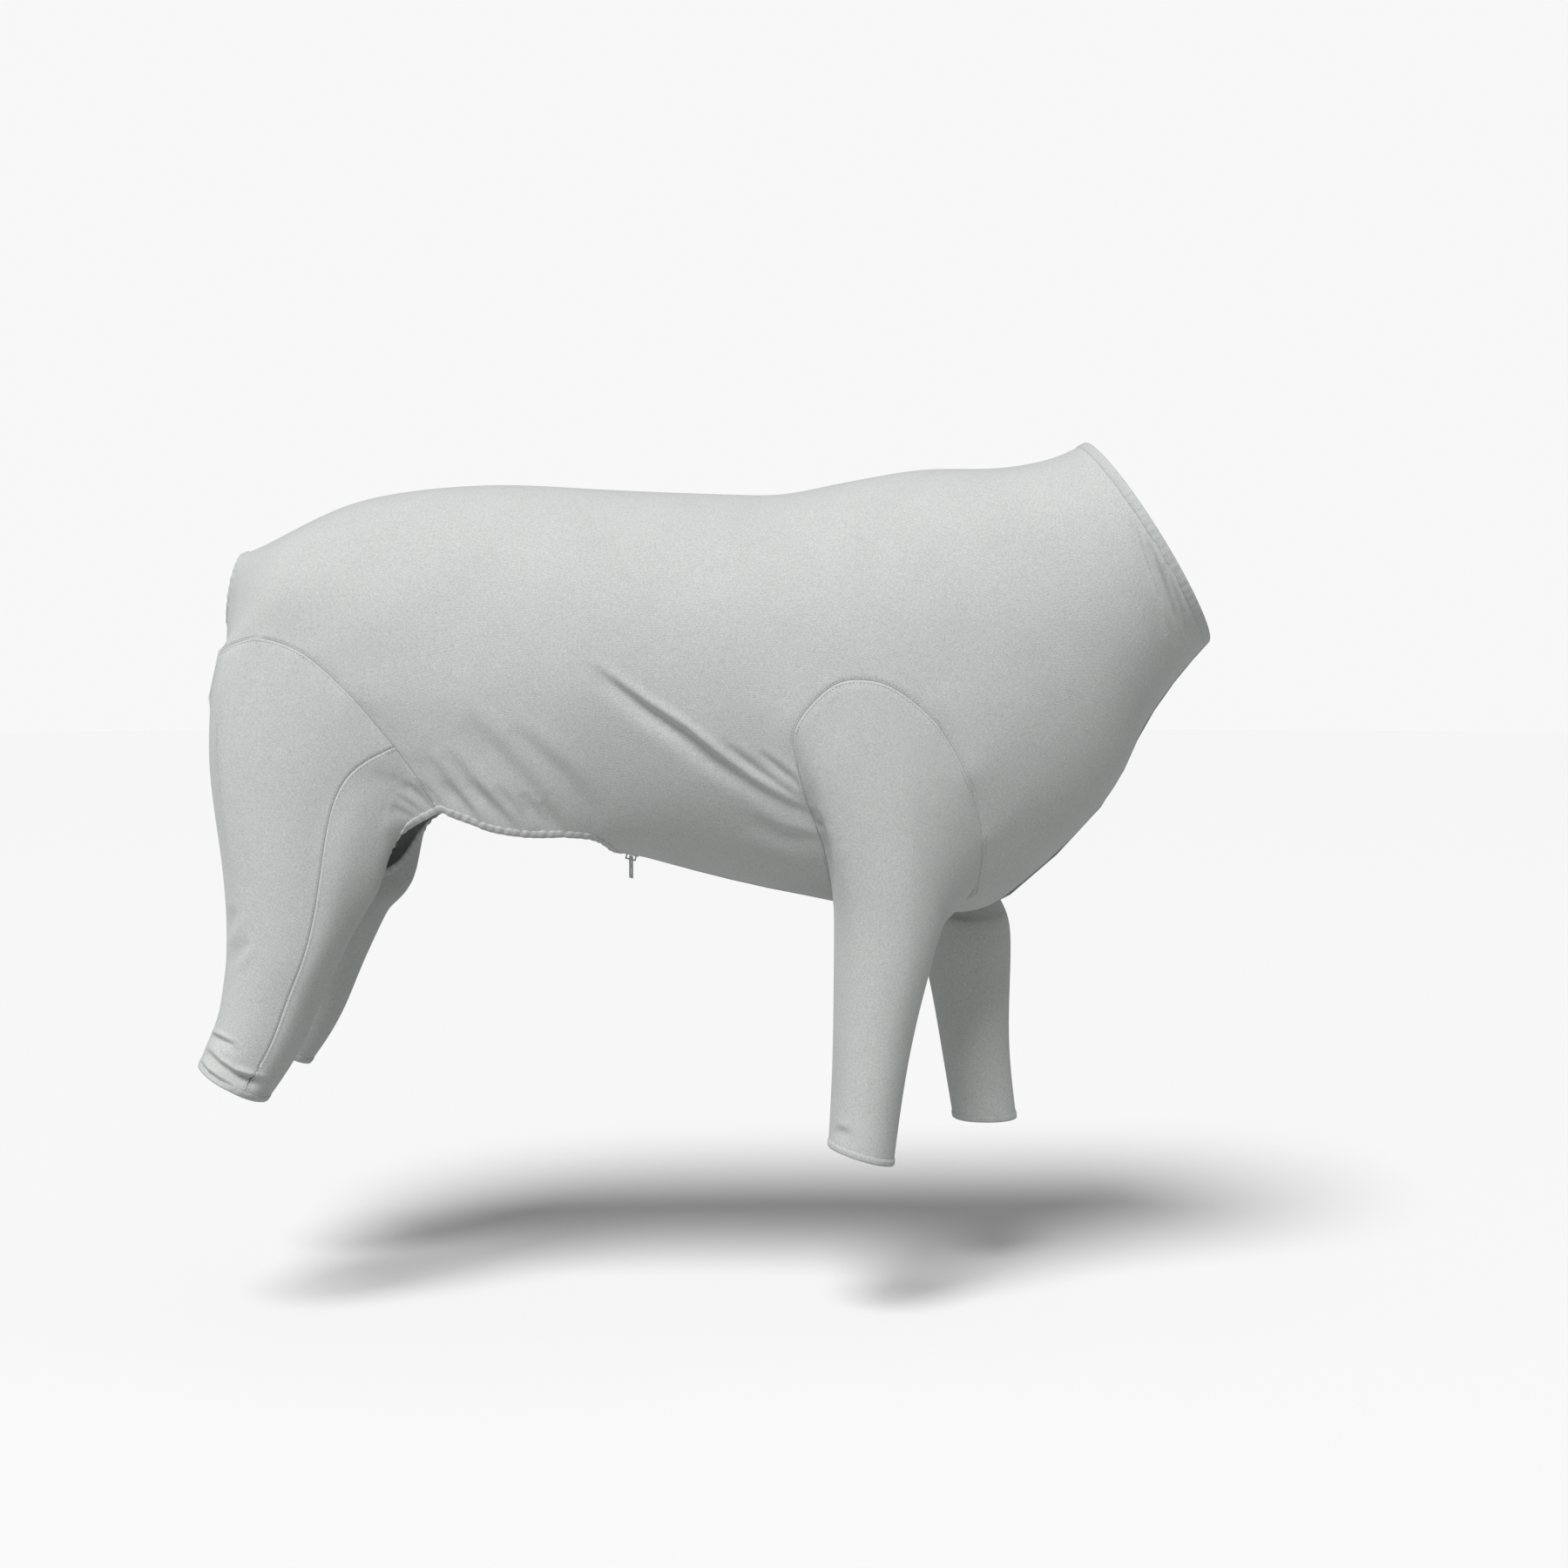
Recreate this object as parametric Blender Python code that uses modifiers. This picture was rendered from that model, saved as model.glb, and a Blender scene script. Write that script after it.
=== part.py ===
"""Dog jumpsuit: a knit body with a high neck and four long sleeves, open under the belly and at the tail.

The cloth is one quad cage, subdivided and parted along its seams into panels with a wall. X points to the
neck, -Y to the dog's right side and +Z up. The origin is on the inner face of the back, where it sits.
"""

import math

import bmesh
import bpy
import numpy as np
from mathutils import Matrix, Vector

MM = 0.001

# Sizes of the body
BACK_LENGTH = 641 * MM  # along X, from the tail opening to the top of the collar
CHEST_DEPTH = 321 * MM  # from the back to the lowest point of the chest
CHEST_WIDTH = 238 * MM
COLLAR_LENGTH = 178 * MM  # from the top of the collar to its front, along its slant
COLLAR_WIDTH = 168 * MM
COLLAR_SLANT = math.radians(-58)
COLLAR_TOP = (0.461, 0.123)  # shares of BACK_LENGTH and CHEST_DEPTH
TAIL_OPENING = 54 * MM
TAIL_SLANT = math.radians(-101)
TAIL_TOP = (-0.539, -0.138)  # shares of BACK_LENGTH and CHEST_DEPTH
WALL = 1.2 * MM

# Sizes of the sleeves
FRONT_SLEEVE_LENGTH = 353 * MM  # from the middle of the shoulder seam to the cuff
FRONT_SLEEVE_WIDTH = 75 * MM
FRONT_CUFF = 50.6 * MM
FRONT_SPREAD = 0.63 * CHEST_WIDTH  # between the middles of the front sleeves
FRONT_TOP = (0.0, -0.430)  # where its length is counted from, as shares of BACK_LENGTH and CHEST_DEPTH
STRIDE = 104 * MM  # how far the left front cuff is ahead of the right one
HIND_SLEEVE_LENGTH = 328 * MM  # from the top of the hip seam to the cuff
HIND_SLEEVE_WIDTH = 88 * MM
HIND_CUFF = 56 * MM
HIND_SPREAD = 0.69 * CHEST_WIDTH
HIND_TOP = (-0.467, -0.335)
HIND_LEAN = 40 * MM  # how far the hind cuffs are behind the thighs

# Edges, seams and the zip
COLLAR_BAND = 6 * MM
RIM_BAND = 4 * MM
TAIL_BAND = 5 * MM
CUFF_HEM = 4.5 * MM
BAND_THICKNESS = 2.6 * MM
GAP = 0.3 * MM
SEAM_GAP = 0.5 * MM
BAND_GAP = 0.8 * MM
COIL_WIDTH = 5 * MM
COIL_HEIGHT = 2 * MM
TAPE_WIDTH = 8 * MM
TAPE_THICKNESS = 0.8 * MM
ZIP_HALF = COIL_WIDTH / 2 + TAPE_WIDTH + 2 * GAP  # from the middle to the cloth beside the zip
SLIDER_LENGTH = 11 * MM
SLIDER_WIDTH = 8.4 * MM
PLATE = 1.2 * MM
CROWN_BAR = 1.2 * MM
CROWN_OPENING = 6 * MM
PULL_LENGTH = 17 * MM
PULL_WIDTH = 7 * MM
PULL_THICKNESS = 1.2 * MM
PULL_RAIL = 1.2 * MM
PULL_YAW = math.radians(20)
PULL_PLAY = 0.8 * MM  # above and below its bar, under the crown
PULL_EYE = 4.6 * MM
PULL_SLOT = (0.34, 0.66)  # its length and the place of its middle, as shares of PULL_LENGTH
SLIDER_SEAT = 0.3  # how far the slider is from the zip's last point to the one before
POST = (0.22, 0.30)  # the slider's post, as shares of its length and width
POST_PLACE = -0.36

COLUMNS = 16  # round the body, 0 on the back and 8 under the belly
SUBDIVISIONS = 1

# Sections of the body from the neck to the tail. top_x and low_x are shares of BACK_LENGTH, top_z and low_z
# of CHEST_DEPTH and width of CHEST_WIDTH; egg above 0 narrows the underside.
SECTION_COLUMNS = ("top_x", "top_z", "low_x", "low_z", "width", "egg")
SECTIONS = (
    (0.416, 0.084, 0.567, -0.444, 0.723, 0.03),
    (0.348, 0.063, 0.524, -0.581, 0.790, 0.06),
    (0.276, 0.061, 0.481, -0.739, 0.874, 0.08),
    (0.208, 0.042, 0.374, -0.948, 0.941, 0.08),
    (0.156, 0.022, 0.310, -0.990, 0.983, 0.06),
    (0.104, 0.003, 0.241, -0.996, 1.000, 0.05),
    (0.052, 0.001, 0.172, -0.967, 1.000, 0.05),
    (-0.010, 0.005, 0.085, -0.932, 0.992, 0.04),
    (-0.073, 0.010, -0.003, -0.890, 0.966, 0.02),
    (-0.140, 0.017, -0.091, -0.842, 0.924, 0.00),
    (-0.216, 0.024, -0.195, -0.923, 0.882, 0.00),
    (-0.291, 0.019, -0.302, -0.923, 0.857, 0.00),
    (-0.359, 0.003, -0.416, -0.913, 0.840, 0.00),
    (-0.416, -0.026, -0.489, -0.809, 0.815, 0.00),
    (-0.468, -0.074, -0.537, -0.606, 0.723, 0.00),
    (-0.512, -0.118, -0.553, -0.456, 0.471, 0.00),
)
COLLAR_STATION = 0
ARM_STATIONS = (4, 7)
CUTOUT_STATION = 10
HIP_STATIONS = (12, 15)
TAIL_STATION = 17
SIDE_COLUMN = 4
ARM_LOW_COLUMN = 7
RIM_COLUMN = 6
LOW_COLUMN = COLUMNS // 2

# Seams on the right side: the station and column of each point, its place as shares of BACK_LENGTH,
# CHEST_WIDTH / 2 and CHEST_DEPTH, the turn (degrees) at which its column goes down the sleeve, and how far
# the sleeve follows the body past the seam.
SEAM_COLUMNS = ("station", "column", "x", "side", "z", "turn", "follow")
SHOULDER_SEAM = (
    (4, 4, 0.275, 0.950, -0.525, 55, 0.7),
    (5, 4, 0.219, 0.983, -0.439, 78, 0.8),
    (6, 4, 0.161, 1.000, -0.437, 102, 0.8),
    (7, 4, 0.113, 1.000, -0.544, 128, 0.7),
    (7, 5, 0.125, 0.908, -0.686, 152, 0.5),
    (7, 6, 0.150, 0.723, -0.819, 178, 0.3),
    (7, 7, 0.163, 0.462, -0.942, 215, 0.1),
    (6, 7, 0.216, 0.370, -0.986, 250, 0.1),
    (5, 7, 0.277, 0.370, -0.982, 288, 0.1),
    (4, 7, 0.327, 0.437, -0.934, 325, 0.1),
    (4, 6, 0.334, 0.672, -0.806, 0, 0.3),
    (4, 5, 0.312, 0.874, -0.651, 28, 0.5),
)
HIP_SEAM = (
    (12, 6, -0.287, 0.706, -0.734, 40, 2.3),
    (12, 5, -0.338, 0.815, -0.586, 64, 1.0),
    (12, 4, -0.385, 0.857, -0.469, 88, 0.8),
    (13, 4, -0.440, 0.824, -0.371, 110, 0.8),
    (14, 4, -0.495, 0.756, -0.335, 131, 0.8),
    (15, 4, -0.542, 0.655, -0.369, 151, 0.7),
    (15, 5, -0.556, 0.605, -0.473, 170, 0.5),
    (15, 6, -0.548, 0.490, -0.580, 190, 0.5),
    (15, 7, -0.530, 0.290, -0.630, 212, 0.5),
)
# The cut-out's edge on the inner thigh, from the crotch forward.
THIGH_COLUMNS = ("x", "side", "z", "turn")
THIGH_EDGE = (
    (-0.502, 0.340, -0.790, 238),
    (-0.437, 0.390, -0.900, 274),
    (-0.374, 0.470, -0.890, 319),
    (-0.342, 0.620, -0.800, 0),
)
THIGH_FOLLOW = 0.5
FLANK_LIFT = math.radians(38)  # how far the front corner of the hip seam leads upward
# Other edge points of the cut-out that leave their section: its rounded front end and its rear end.
CUTOUT_ENDS = (
    (10, 6, -0.125, 0.560, -0.800),
    (10, 7, -0.099, 0.300, -0.835),
    (10, 8, -0.091, 0.000, -0.842),
    (11, 6, -0.205, 0.660, -0.790),
    (15, 8, -0.520, 0.000, -0.610),
)

# Rings of a sleeve, downwards: how far down as a share of its length, the middle's place forward, the width
# along X, the width across, the outward shift of the middle and how far the ring tips forward (degrees).
RING_COLUMNS = ("down", "forward", "width", "across", "out", "tip")
FRONT_RINGS = (
    (0.570, 0.220, 1.000, 0.930, 0.000, 0),
    (0.705, 0.210, 0.840, 0.830, 0.000, 0),
    (0.849, 0.201, 0.720, 0.740, 0.000, 6),
    (1.000, 0.193, 1.000, 1.000, 0.000, 17),
)
FRONT_STRIDES = (0.66, 0.78, 0.88, 1.00)  # shares of STRIDE at those rings of the left sleeve
HIND_RINGS = (
    (0.693, 0.000, 1.000, 0.750, -0.02, 0),
    (0.788, -0.230, 0.845, 0.680, 0.000, 5),
    (0.870, -0.450, 0.750, 0.620, 0.020, 16),
    (0.937, -0.710, 0.700, 0.580, 0.030, 24),
    (1.000, -1.000, 1.000, 0.940, 0.040, 29),
)
BLEND_SHARES = (0.36, 0.69)  # the rows between a seam and the first whole ring
BLEND_PULL = 0.8  # how strongly those rows follow the sleeve's own run

# Main dents and folds of the right flank and neck: ends as shares of BACK_LENGTH and CHEST_DEPTH, half-width
# and depth as shares of CHEST_WIDTH. A negative depth is a ridge.
FOLD_COLUMNS = ("x0", "z0", "x1", "z1", "half", "depth")
FOLDS = (
    (-0.095, -0.420, 0.115, -0.735, 0.060, 0.020),
    (-0.120, -0.560, 0.100, -0.830, 0.060, -0.012),
    (-0.250, -0.520, -0.170, -0.740, 0.070, 0.018),
    (-0.190, -0.480, -0.110, -0.700, 0.060, -0.010),
    (0.470, -0.080, 0.500, -0.280, 0.050, 0.018),
    (0.400, -0.060, 0.440, -0.300, 0.060, -0.012),
)
FOLD_SIDE = 0.35  # folds fade out nearer the middle than this share of CHEST_WIDTH / 2
FOLD_FADE = 0.3

PANELS = (
    "body",
    "front_sleeve_right",
    "hind_sleeve_right_outer",
    "hind_sleeve_right_inner",
    "front_sleeve_left",
    "hind_sleeve_left_outer",
    "hind_sleeve_left_inner",
)
HIND_SEAMS = (1, 10)  # the columns of a hind sleeve that its long seams follow
CLOTH_COLOUR = (0.50, 0.53, 0.51)
TRIM_COLOUR = (0.44, 0.47, 0.455)
METAL_COLOUR = (0.35, 0.36, 0.37)
CLOTH_ROUGHNESS = 0.9
COIL_ROUGHNESS = 0.5
METAL_ROUGHNESS = 0.4
METALLIC = 0.9
SHARP = math.radians(40)


def rows(names, table):
    return [dict(zip(names, row)) for row in table]


def material(name, colour, roughness, metallic=0.0):
    made = bpy.data.materials.new(name)
    made.use_nodes = True
    shader = made.node_tree.nodes["Principled BSDF"]
    shader.inputs["Base Color"].default_value = (*colour, 1)
    shader.inputs["Roughness"].default_value = roughness
    shader.inputs["Metallic"].default_value = metallic
    return made


def node(name, bm, colour, roughness=CLOTH_ROUGHNESS, metallic=0.0):
    mesh = bpy.data.meshes.new(name)
    bm.normal_update()
    bm.to_mesh(mesh)
    bm.free()
    mesh.shade_smooth()
    mesh.set_sharp_from_angle(angle=SHARP)
    mesh.materials.append(material(name, colour, roughness, metallic))
    made = bpy.data.objects.new(name, mesh)
    parts.objects.link(made)
    return made


def section_point(section, turn, side):
    """A point of a body section: turn is 0 on the back and 1 under the belly, side -1 on the right."""
    down = (1 - math.cos(math.pi * turn)) / 2
    across = math.sin(math.pi * turn) * (1 + section["egg"] * math.cos(math.pi * turn))
    return Vector((
        BACK_LENGTH * (section["top_x"] + (section["low_x"] - section["top_x"]) * down),
        side * CHEST_WIDTH / 2 * section["width"] * across,
        CHEST_DEPTH * (section["top_z"] + (section["low_z"] - section["top_z"]) * down) + WALL,
    ))


def share_point(x, side, z, hand):
    return Vector((BACK_LENGTH * x, hand * CHEST_WIDTH / 2 * side, CHEST_DEPTH * z + WALL))


def round_opening(top, slant, length, width, turn, side):
    """A point of a flat oval opening that starts at top and runs length along its slant."""
    down = (1 - math.cos(math.pi * turn)) / 2
    run = Vector((math.cos(slant), 0, math.sin(slant)))
    return top + run * length * down + Vector((0, side * width / 2 * math.sin(math.pi * turn), 0))


def body_grid():
    """Where the limit surface of the body passes, keyed by station and column."""
    collar_top = share_point(COLLAR_TOP[0], 0, COLLAR_TOP[1], 1)
    tail_top = share_point(TAIL_TOP[0], 0, TAIL_TOP[1], 1)
    stations = [None, *rows(SECTION_COLUMNS, SECTIONS), None]
    grid = {}
    for i, section in enumerate(stations):
        for j in range(COLUMNS):
            side = -1 if j <= LOW_COLUMN else 1
            turn = min(j, COLUMNS - j) / LOW_COLUMN
            if i == COLLAR_STATION:
                grid[i, j] = round_opening(collar_top, COLLAR_SLANT, COLLAR_LENGTH, COLLAR_WIDTH, turn, side)
            elif i == TAIL_STATION:
                grid[i, j] = round_opening(tail_top, TAIL_SLANT, TAIL_OPENING, TAIL_OPENING, turn, side)
            else:
                grid[i, j] = section_point(section, turn, side)
    placed = [row[:5] for row in SHOULDER_SEAM + HIP_SEAM]
    for i, j, x, side, z in (*placed, *CUTOUT_ENDS):
        grid[i, j] = share_point(x, side, z, -1)
        grid[i, (COLUMNS - j) % COLUMNS] = share_point(x, side, z, 1)
    return grid


def is_cut(i, j):
    """Whether the cell past station i and column j is left open for a sleeve or the belly."""
    arm = ARM_STATIONS[0] <= i < ARM_STATIONS[1] and SIDE_COLUMN <= min(j, COLUMNS - 1 - j) < ARM_LOW_COLUMN
    hip = HIP_STATIONS[0] <= i < HIP_STATIONS[1] and SIDE_COLUMN <= min(j, COLUMNS - 1 - j)
    belly = CUTOUT_STATION <= i < HIP_STATIONS[0] and RIM_COLUMN <= min(j, COLUMNS - 1 - j)
    return arm or hip or belly


def sleeve_rings(kind, hand):
    """The middle, half-widths and forward direction of each whole ring of a sleeve."""
    rings = []
    if kind == "front":
        table, length, spread, (start, top) = FRONT_RINGS, FRONT_SLEEVE_LENGTH, FRONT_SPREAD, FRONT_TOP
        width, cuff, lean = FRONT_SLEEVE_WIDTH, FRONT_CUFF, BACK_LENGTH
    else:
        table, length, spread, (start, top) = HIND_RINGS, HIND_SLEEVE_LENGTH, HIND_SPREAD, HIND_TOP
        width, cuff, lean = HIND_SLEEVE_WIDTH, HIND_CUFF, HIND_LEAN
    for n, ring in enumerate(rows(RING_COLUMNS, table)):
        size = cuff if n == len(table) - 1 else width
        stride = STRIDE * FRONT_STRIDES[n] if kind == "front" and hand > 0 else 0
        tip = math.radians(ring["tip"]) * (1 if hand < 0 or kind == "hind" else 0)
        middle = Vector((
            BACK_LENGTH * start + lean * ring["forward"] + stride,
            hand * (spread / 2 + width * ring["out"]),
            CHEST_DEPTH * top + WALL - length * ring["down"],
        ))
        rings.append((middle, size * ring["width"] / 2, size * ring["across"] / 2, tip))
    return rings


def ring_point(ring, turn, hand):
    middle, along, across, tip = ring
    forward = Vector((math.cos(tip), 0, -math.sin(tip)))
    return middle + forward * along * math.cos(turn) + Vector((0, hand * across * math.sin(turn), 0))


def blend(start, start_run, end, end_run, share):
    """A point of the cubic that leaves start along start_run and reaches end along end_run."""
    a, b = share * share * (3 - 2 * share), share * (1 - share)
    return start.lerp(end, a) + start_run * b * (1 - share) - end_run * b * share


class Cage:
    """Quads with the place that the limit surface passes at each corner, and the panel of each quad."""

    def __init__(self):
        self.points = []
        self.quads = []
        self.panels = []
        self.loops = {}

    def point(self, place):
        self.points.append(place)
        return len(self.points) - 1

    def quad(self, corners, panel):
        self.quads.append(corners)
        self.panels.append(PANELS.index(panel))


def add_body(cage):
    grid = body_grid()
    used = {}
    for i in range(TAIL_STATION):
        for j in range(COLUMNS):
            if is_cut(i, j):
                continue
            keys = [(i, j), (i, (j + 1) % COLUMNS), (i + 1, (j + 1) % COLUMNS), (i + 1, j)]
            for key in keys:
                if key not in used:
                    used[key] = cage.point(grid[key])
            cage.quad([used[key] for key in keys], "body")
    cage.loops["collar"] = [used[COLLAR_STATION, j] for j in range(COLUMNS)]
    cage.loops["tail"] = [used[TAIL_STATION, j] for j in range(COLUMNS)]
    cage.loops["zip"] = [used[i, LOW_COLUMN] for i in range(CUTOUT_STATION + 1)]
    return grid, used


def outer_neighbour(grid, station, column, stations, columns):
    """The body's own grid point next to a seam point, on the side away from the sleeve."""
    i = station + (column >= columns[0]) * ((station == stations[1]) - (station == stations[0]))
    j = column + (column == columns[1]) - (column == columns[0])
    return grid[i, j]


def add_sleeve(cage, grid, used, kind, hand):
    """The rings of one sleeve, welded to the body along its seam."""
    side = "right" if hand < 0 else "left"
    seam = rows(SEAM_COLUMNS, SHOULDER_SEAM if kind == "front" else HIP_SEAM)
    stations = ARM_STATIONS if kind == "front" else HIP_STATIONS
    low = ARM_LOW_COLUMN if kind == "front" else LOW_COLUMN
    rings = sleeve_rings(kind, hand)
    starts, runs, turns = [], [], []
    for row in seam:
        own = grid[row["station"], row["column"]]
        away = own - outer_neighbour(grid, row["station"], row["column"], stations, (SIDE_COLUMN, low))
        if row["station"] == HIP_STATIONS[0] and row["column"] == RIM_COLUMN:
            away.rotate(Matrix.Rotation(FLANK_LIFT, 3, "Y"))
        turns.append(math.radians(row["turn"]))
        reach = (ring_point(rings[0], turns[-1], -1) - own).length
        runs.append(away.normalized() * reach * row["follow"])
        column = row["column"] if hand < 0 else (COLUMNS - row["column"]) % COLUMNS
        starts.append(used[row["station"], column])
    if kind == "hind":
        edge = [share_point(r["x"], r["side"], r["z"], -1) for r in rows(THIGH_COLUMNS, THIGH_EDGE)]
        first, last = (grid[row["station"], row["column"]] for row in (seam[0], seam[-1]))
        ends = [last, *edge, first]
        for n, row in enumerate(rows(THIGH_COLUMNS, THIGH_EDGE)):
            turns.append(math.radians(row["turn"]))
            reach = (ring_point(rings[0], turns[-1], -1) - edge[n]).length
            facing = Vector((math.cos(turns[-1]), -math.sin(turns[-1]), 0))
            runs.append(facing.cross(ends[n + 2] - ends[n]).normalized() * reach * THIGH_FOLLOW)
            starts.append(cage.point(Vector((edge[n].x, edge[n].y * -hand, edge[n].z))))
        cage.loops["thigh_" + side] = starts[len(seam):]
    count = len(starts)
    above = starts
    for n in range(len(BLEND_SHARES) + len(rings)):
        here = []
        for k in range(count):
            first = ring_point(rings[0], turns[k], hand)
            if n < len(BLEND_SHARES):
                start = cage.points[starts[k]]
                run = Vector((runs[k].x, runs[k].y * -hand, runs[k].z))
                down = (ring_point(rings[1], turns[k], hand) - first).normalized() * (first - start).length
                here.append(cage.point(blend(start, run, first, down * BLEND_PULL, BLEND_SHARES[n])))
            else:
                here.append(cage.point(ring_point(rings[n - len(BLEND_SHARES)], turns[k], hand)))
        for k in range(count):
            following = (k + 1) % count
            corners = [above[k], above[following], here[following], here[k]]
            panel = kind + "_sleeve_" + side
            if kind == "hind":
                panel += "_outer" if HIND_SEAMS[0] <= k < HIND_SEAMS[1] else "_inner"
            cage.quad(corners if hand < 0 else corners[::-1], panel)
        above = here
    cage.loops[kind + "_cuff_" + side] = above


def cloth_cage():
    cage = Cage()
    grid, used = add_body(cage)
    for kind in ("front", "hind"):
        for hand in (-1, 1):
            add_sleeve(cage, grid, used, kind, hand)
    flank = [(CUTOUT_STATION, n) for n in range(LOW_COLUMN - RIM_COLUMN + 1)]
    flank += [(i, flank[-1][1]) for i in range(CUTOUT_STATION + 1, HIP_STATIONS[0] + 1)]
    rim = [used[i, LOW_COLUMN - n] for i, n in flank]
    rim += cage.loops.pop("thigh_right")[::-1] + [used[HIP_STATIONS[1], LOW_COLUMN + n] for n in (-1, 0, 1)]
    rim += cage.loops.pop("thigh_left") + [used[i, LOW_COLUMN + n] for i, n in flank[:0:-1]]
    cage.loops["rim"] = rim
    return cage


def smooth_cloth(cage, passes=12):
    """The subdivided cloth, with the cage moved until its limit surface passes through the cage's points."""
    wanted = np.array([tuple(p) for p in cage.points])
    mesh = bpy.data.meshes.new("cloth_cage")
    mesh.from_pydata(cage.points, [], cage.quads)
    mesh.polygons.foreach_set("material_index", cage.panels)
    made = bpy.data.objects.new("cloth_cage", mesh)
    guides.objects.link(made)
    made.hide_render = True
    made.display_type = "WIRE"
    subdivision = made.modifiers.new("smooth", "SUBSURF")
    subdivision.levels = subdivision.render_levels = SUBDIVISIONS
    held = wanted.copy()
    for _ in range(passes):
        mesh.vertices.foreach_set("co", held.ravel())
        mesh.update()
        made.update_tag()
        bpy.context.view_layer.update()
        found = made.evaluated_get(bpy.context.evaluated_depsgraph_get()).data
        reached = np.array([found.vertices[n].co for n in range(len(wanted))])
        held += wanted - reached
    bm = bmesh.new()
    bm.from_mesh(found)
    bmesh.ops.recalc_face_normals(bm, faces=bm.faces)
    bm.normal_update()
    return bm


def fold_depth(place):
    """How far the folds press the right side in at a place."""
    depth = 0.0
    side = -place.y / (CHEST_WIDTH / 2)
    fade = min(1.0, max(0.0, (side - FOLD_SIDE) / FOLD_FADE))
    for fold in rows(FOLD_COLUMNS, FOLDS):
        start = Vector((BACK_LENGTH * fold["x0"], CHEST_DEPTH * fold["z0"]))
        end = Vector((BACK_LENGTH * fold["x1"], CHEST_DEPTH * fold["z1"]))
        run = end - start
        at = Vector((place.x, place.z)) - start
        share = min(1.0, max(0.0, at.dot(run) / run.length_squared))
        off = (at - run * share).length / (CHEST_WIDTH * fold["half"])
        depth += CHEST_WIDTH * fold["depth"] * math.exp(-off * off) * math.sin(math.pi * (0.15 + 0.7 * share))
    return depth * fade


def edge_move(v):
    """The move in from an open edge of the cloth that clears both of its edges at a point by one unit."""
    return mitre([(inward_of(e.link_faces[0], e, v.normal), 1.0) for e in v.link_edges if e.is_boundary])


def edge_kinds(bm, cage):
    """Marks each seam and open edge of the welded cloth with how far its panels draw back from it."""
    draw = bm.edges.layers.float.new("draw")
    bm.verts.ensure_lookup_table()
    bm.edges.index_update()
    widths = {"collar": COLLAR_BAND, "tail": TAIL_BAND, "rim": RIM_BAND}
    kind_of = {}
    for name, loop in cage.loops.items():
        if name == "zip":
            continue
        for index in loop:
            kind_of[index] = name
    bands = {}
    left = {e.index: e for e in bm.edges if e.is_boundary}
    while left:
        edge = left.pop(min(left))
        ring = [edge.verts[0], edge.verts[1]]
        edges = [edge]
        while True:
            step = next((e for e in ring[-1].link_edges if e.index in left), None)
            if step is None:
                break
            del left[step.index]
            edges.append(step)
            ring.append(step.other_vert(ring[-1]))
        name = next(kind_of[v.index] for v in ring if v.index in kind_of)
        for e in edges:
            e[draw] = widths.get(name, CUFF_HEM) + BAND_GAP
        bands[name] = [(v.co.copy(), v.normal.copy(), edge_move(v)) for v in ring[:-1]]
    for e in bm.edges:
        if len(e.link_faces) == 2 and e.link_faces[0].material_index != e.link_faces[1].material_index:
            e[draw] = SEAM_GAP / 2
    zip_ends = cage.loops["zip"]
    line = [bm.verts[zip_ends[0]]]
    while line[-1].index != zip_ends[-1]:
        ahead = line[-1].co - line[-2].co if len(line) > 1 else Vector((-1, 0, -1))
        edges = [e for e in line[-1].link_edges if not e.is_boundary]
        here = line[-1]
        step = max(edges, key=lambda e: (e.other_vert(here).co - here.co).normalized().dot(ahead))
        step[draw] = ZIP_HALF
        line.append(step.other_vert(line[-1]))
    return draw, bands, line


def inward_of(face, edge, normal):
    """The direction in the surface from an edge into its face."""
    along = edge.verts[1].co - edge.verts[0].co
    across = normal.cross(along).normalized()
    middle = (edge.verts[0].co + edge.verts[1].co) / 2
    return across if across.dot(face.calc_center_median() - middle) > 0 else -across


def mitre(pulls):
    """The smallest move that clears each (direction, distance) of the edges that meet at a point."""
    matrix = np.array([tuple(direction) for direction, _ in pulls])
    wanted = np.array([distance for _, distance in pulls])
    return Vector(np.linalg.lstsq(matrix, wanted, rcond=0.2)[0])


def part_seams(bm, draw):
    """Parts the cloth along its seams and draws each open edge back. Returns the layer of its normals."""
    facing = bm.verts.layers.float_vector.new("facing")
    for v in bm.verts:
        v[facing] = v.normal
    bmesh.ops.split_edges(bm, edges=[e for e in bm.edges if e[draw] > 0 and not e.is_boundary])
    moves = {}
    for v in bm.verts:
        normal = Vector(v[facing])
        pulls = [(inward_of(e.link_faces[0], e, normal), e[draw]) for e in v.link_edges if e.is_boundary]
        if pulls:
            moves[v] = mitre(pulls)
    for v, move in moves.items():
        v.co += move
    return facing


def panel_shell(bm, facing, number):
    """One panel of the parted cloth with its wall."""
    shell = bmesh.new()
    pairs = {}
    for face in bm.faces:
        if face.material_index != number:
            continue
        for v in face.verts:
            if v not in pairs:
                inner = v.co - Vector(v[facing]).normalized() * WALL
                pairs[v] = (shell.verts.new(v.co), shell.verts.new(inner))
        shell.faces.new([pairs[v][0] for v in face.verts])
        shell.faces.new([pairs[v][1] for v in reversed(face.verts)])
        for loop in face.loops:
            if loop.edge.is_boundary:
                a, b = pairs[loop.vert], pairs[loop.link_loop_next.vert]
                shell.faces.new((b[0], a[0], a[1], b[1]))
    return shell


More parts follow.
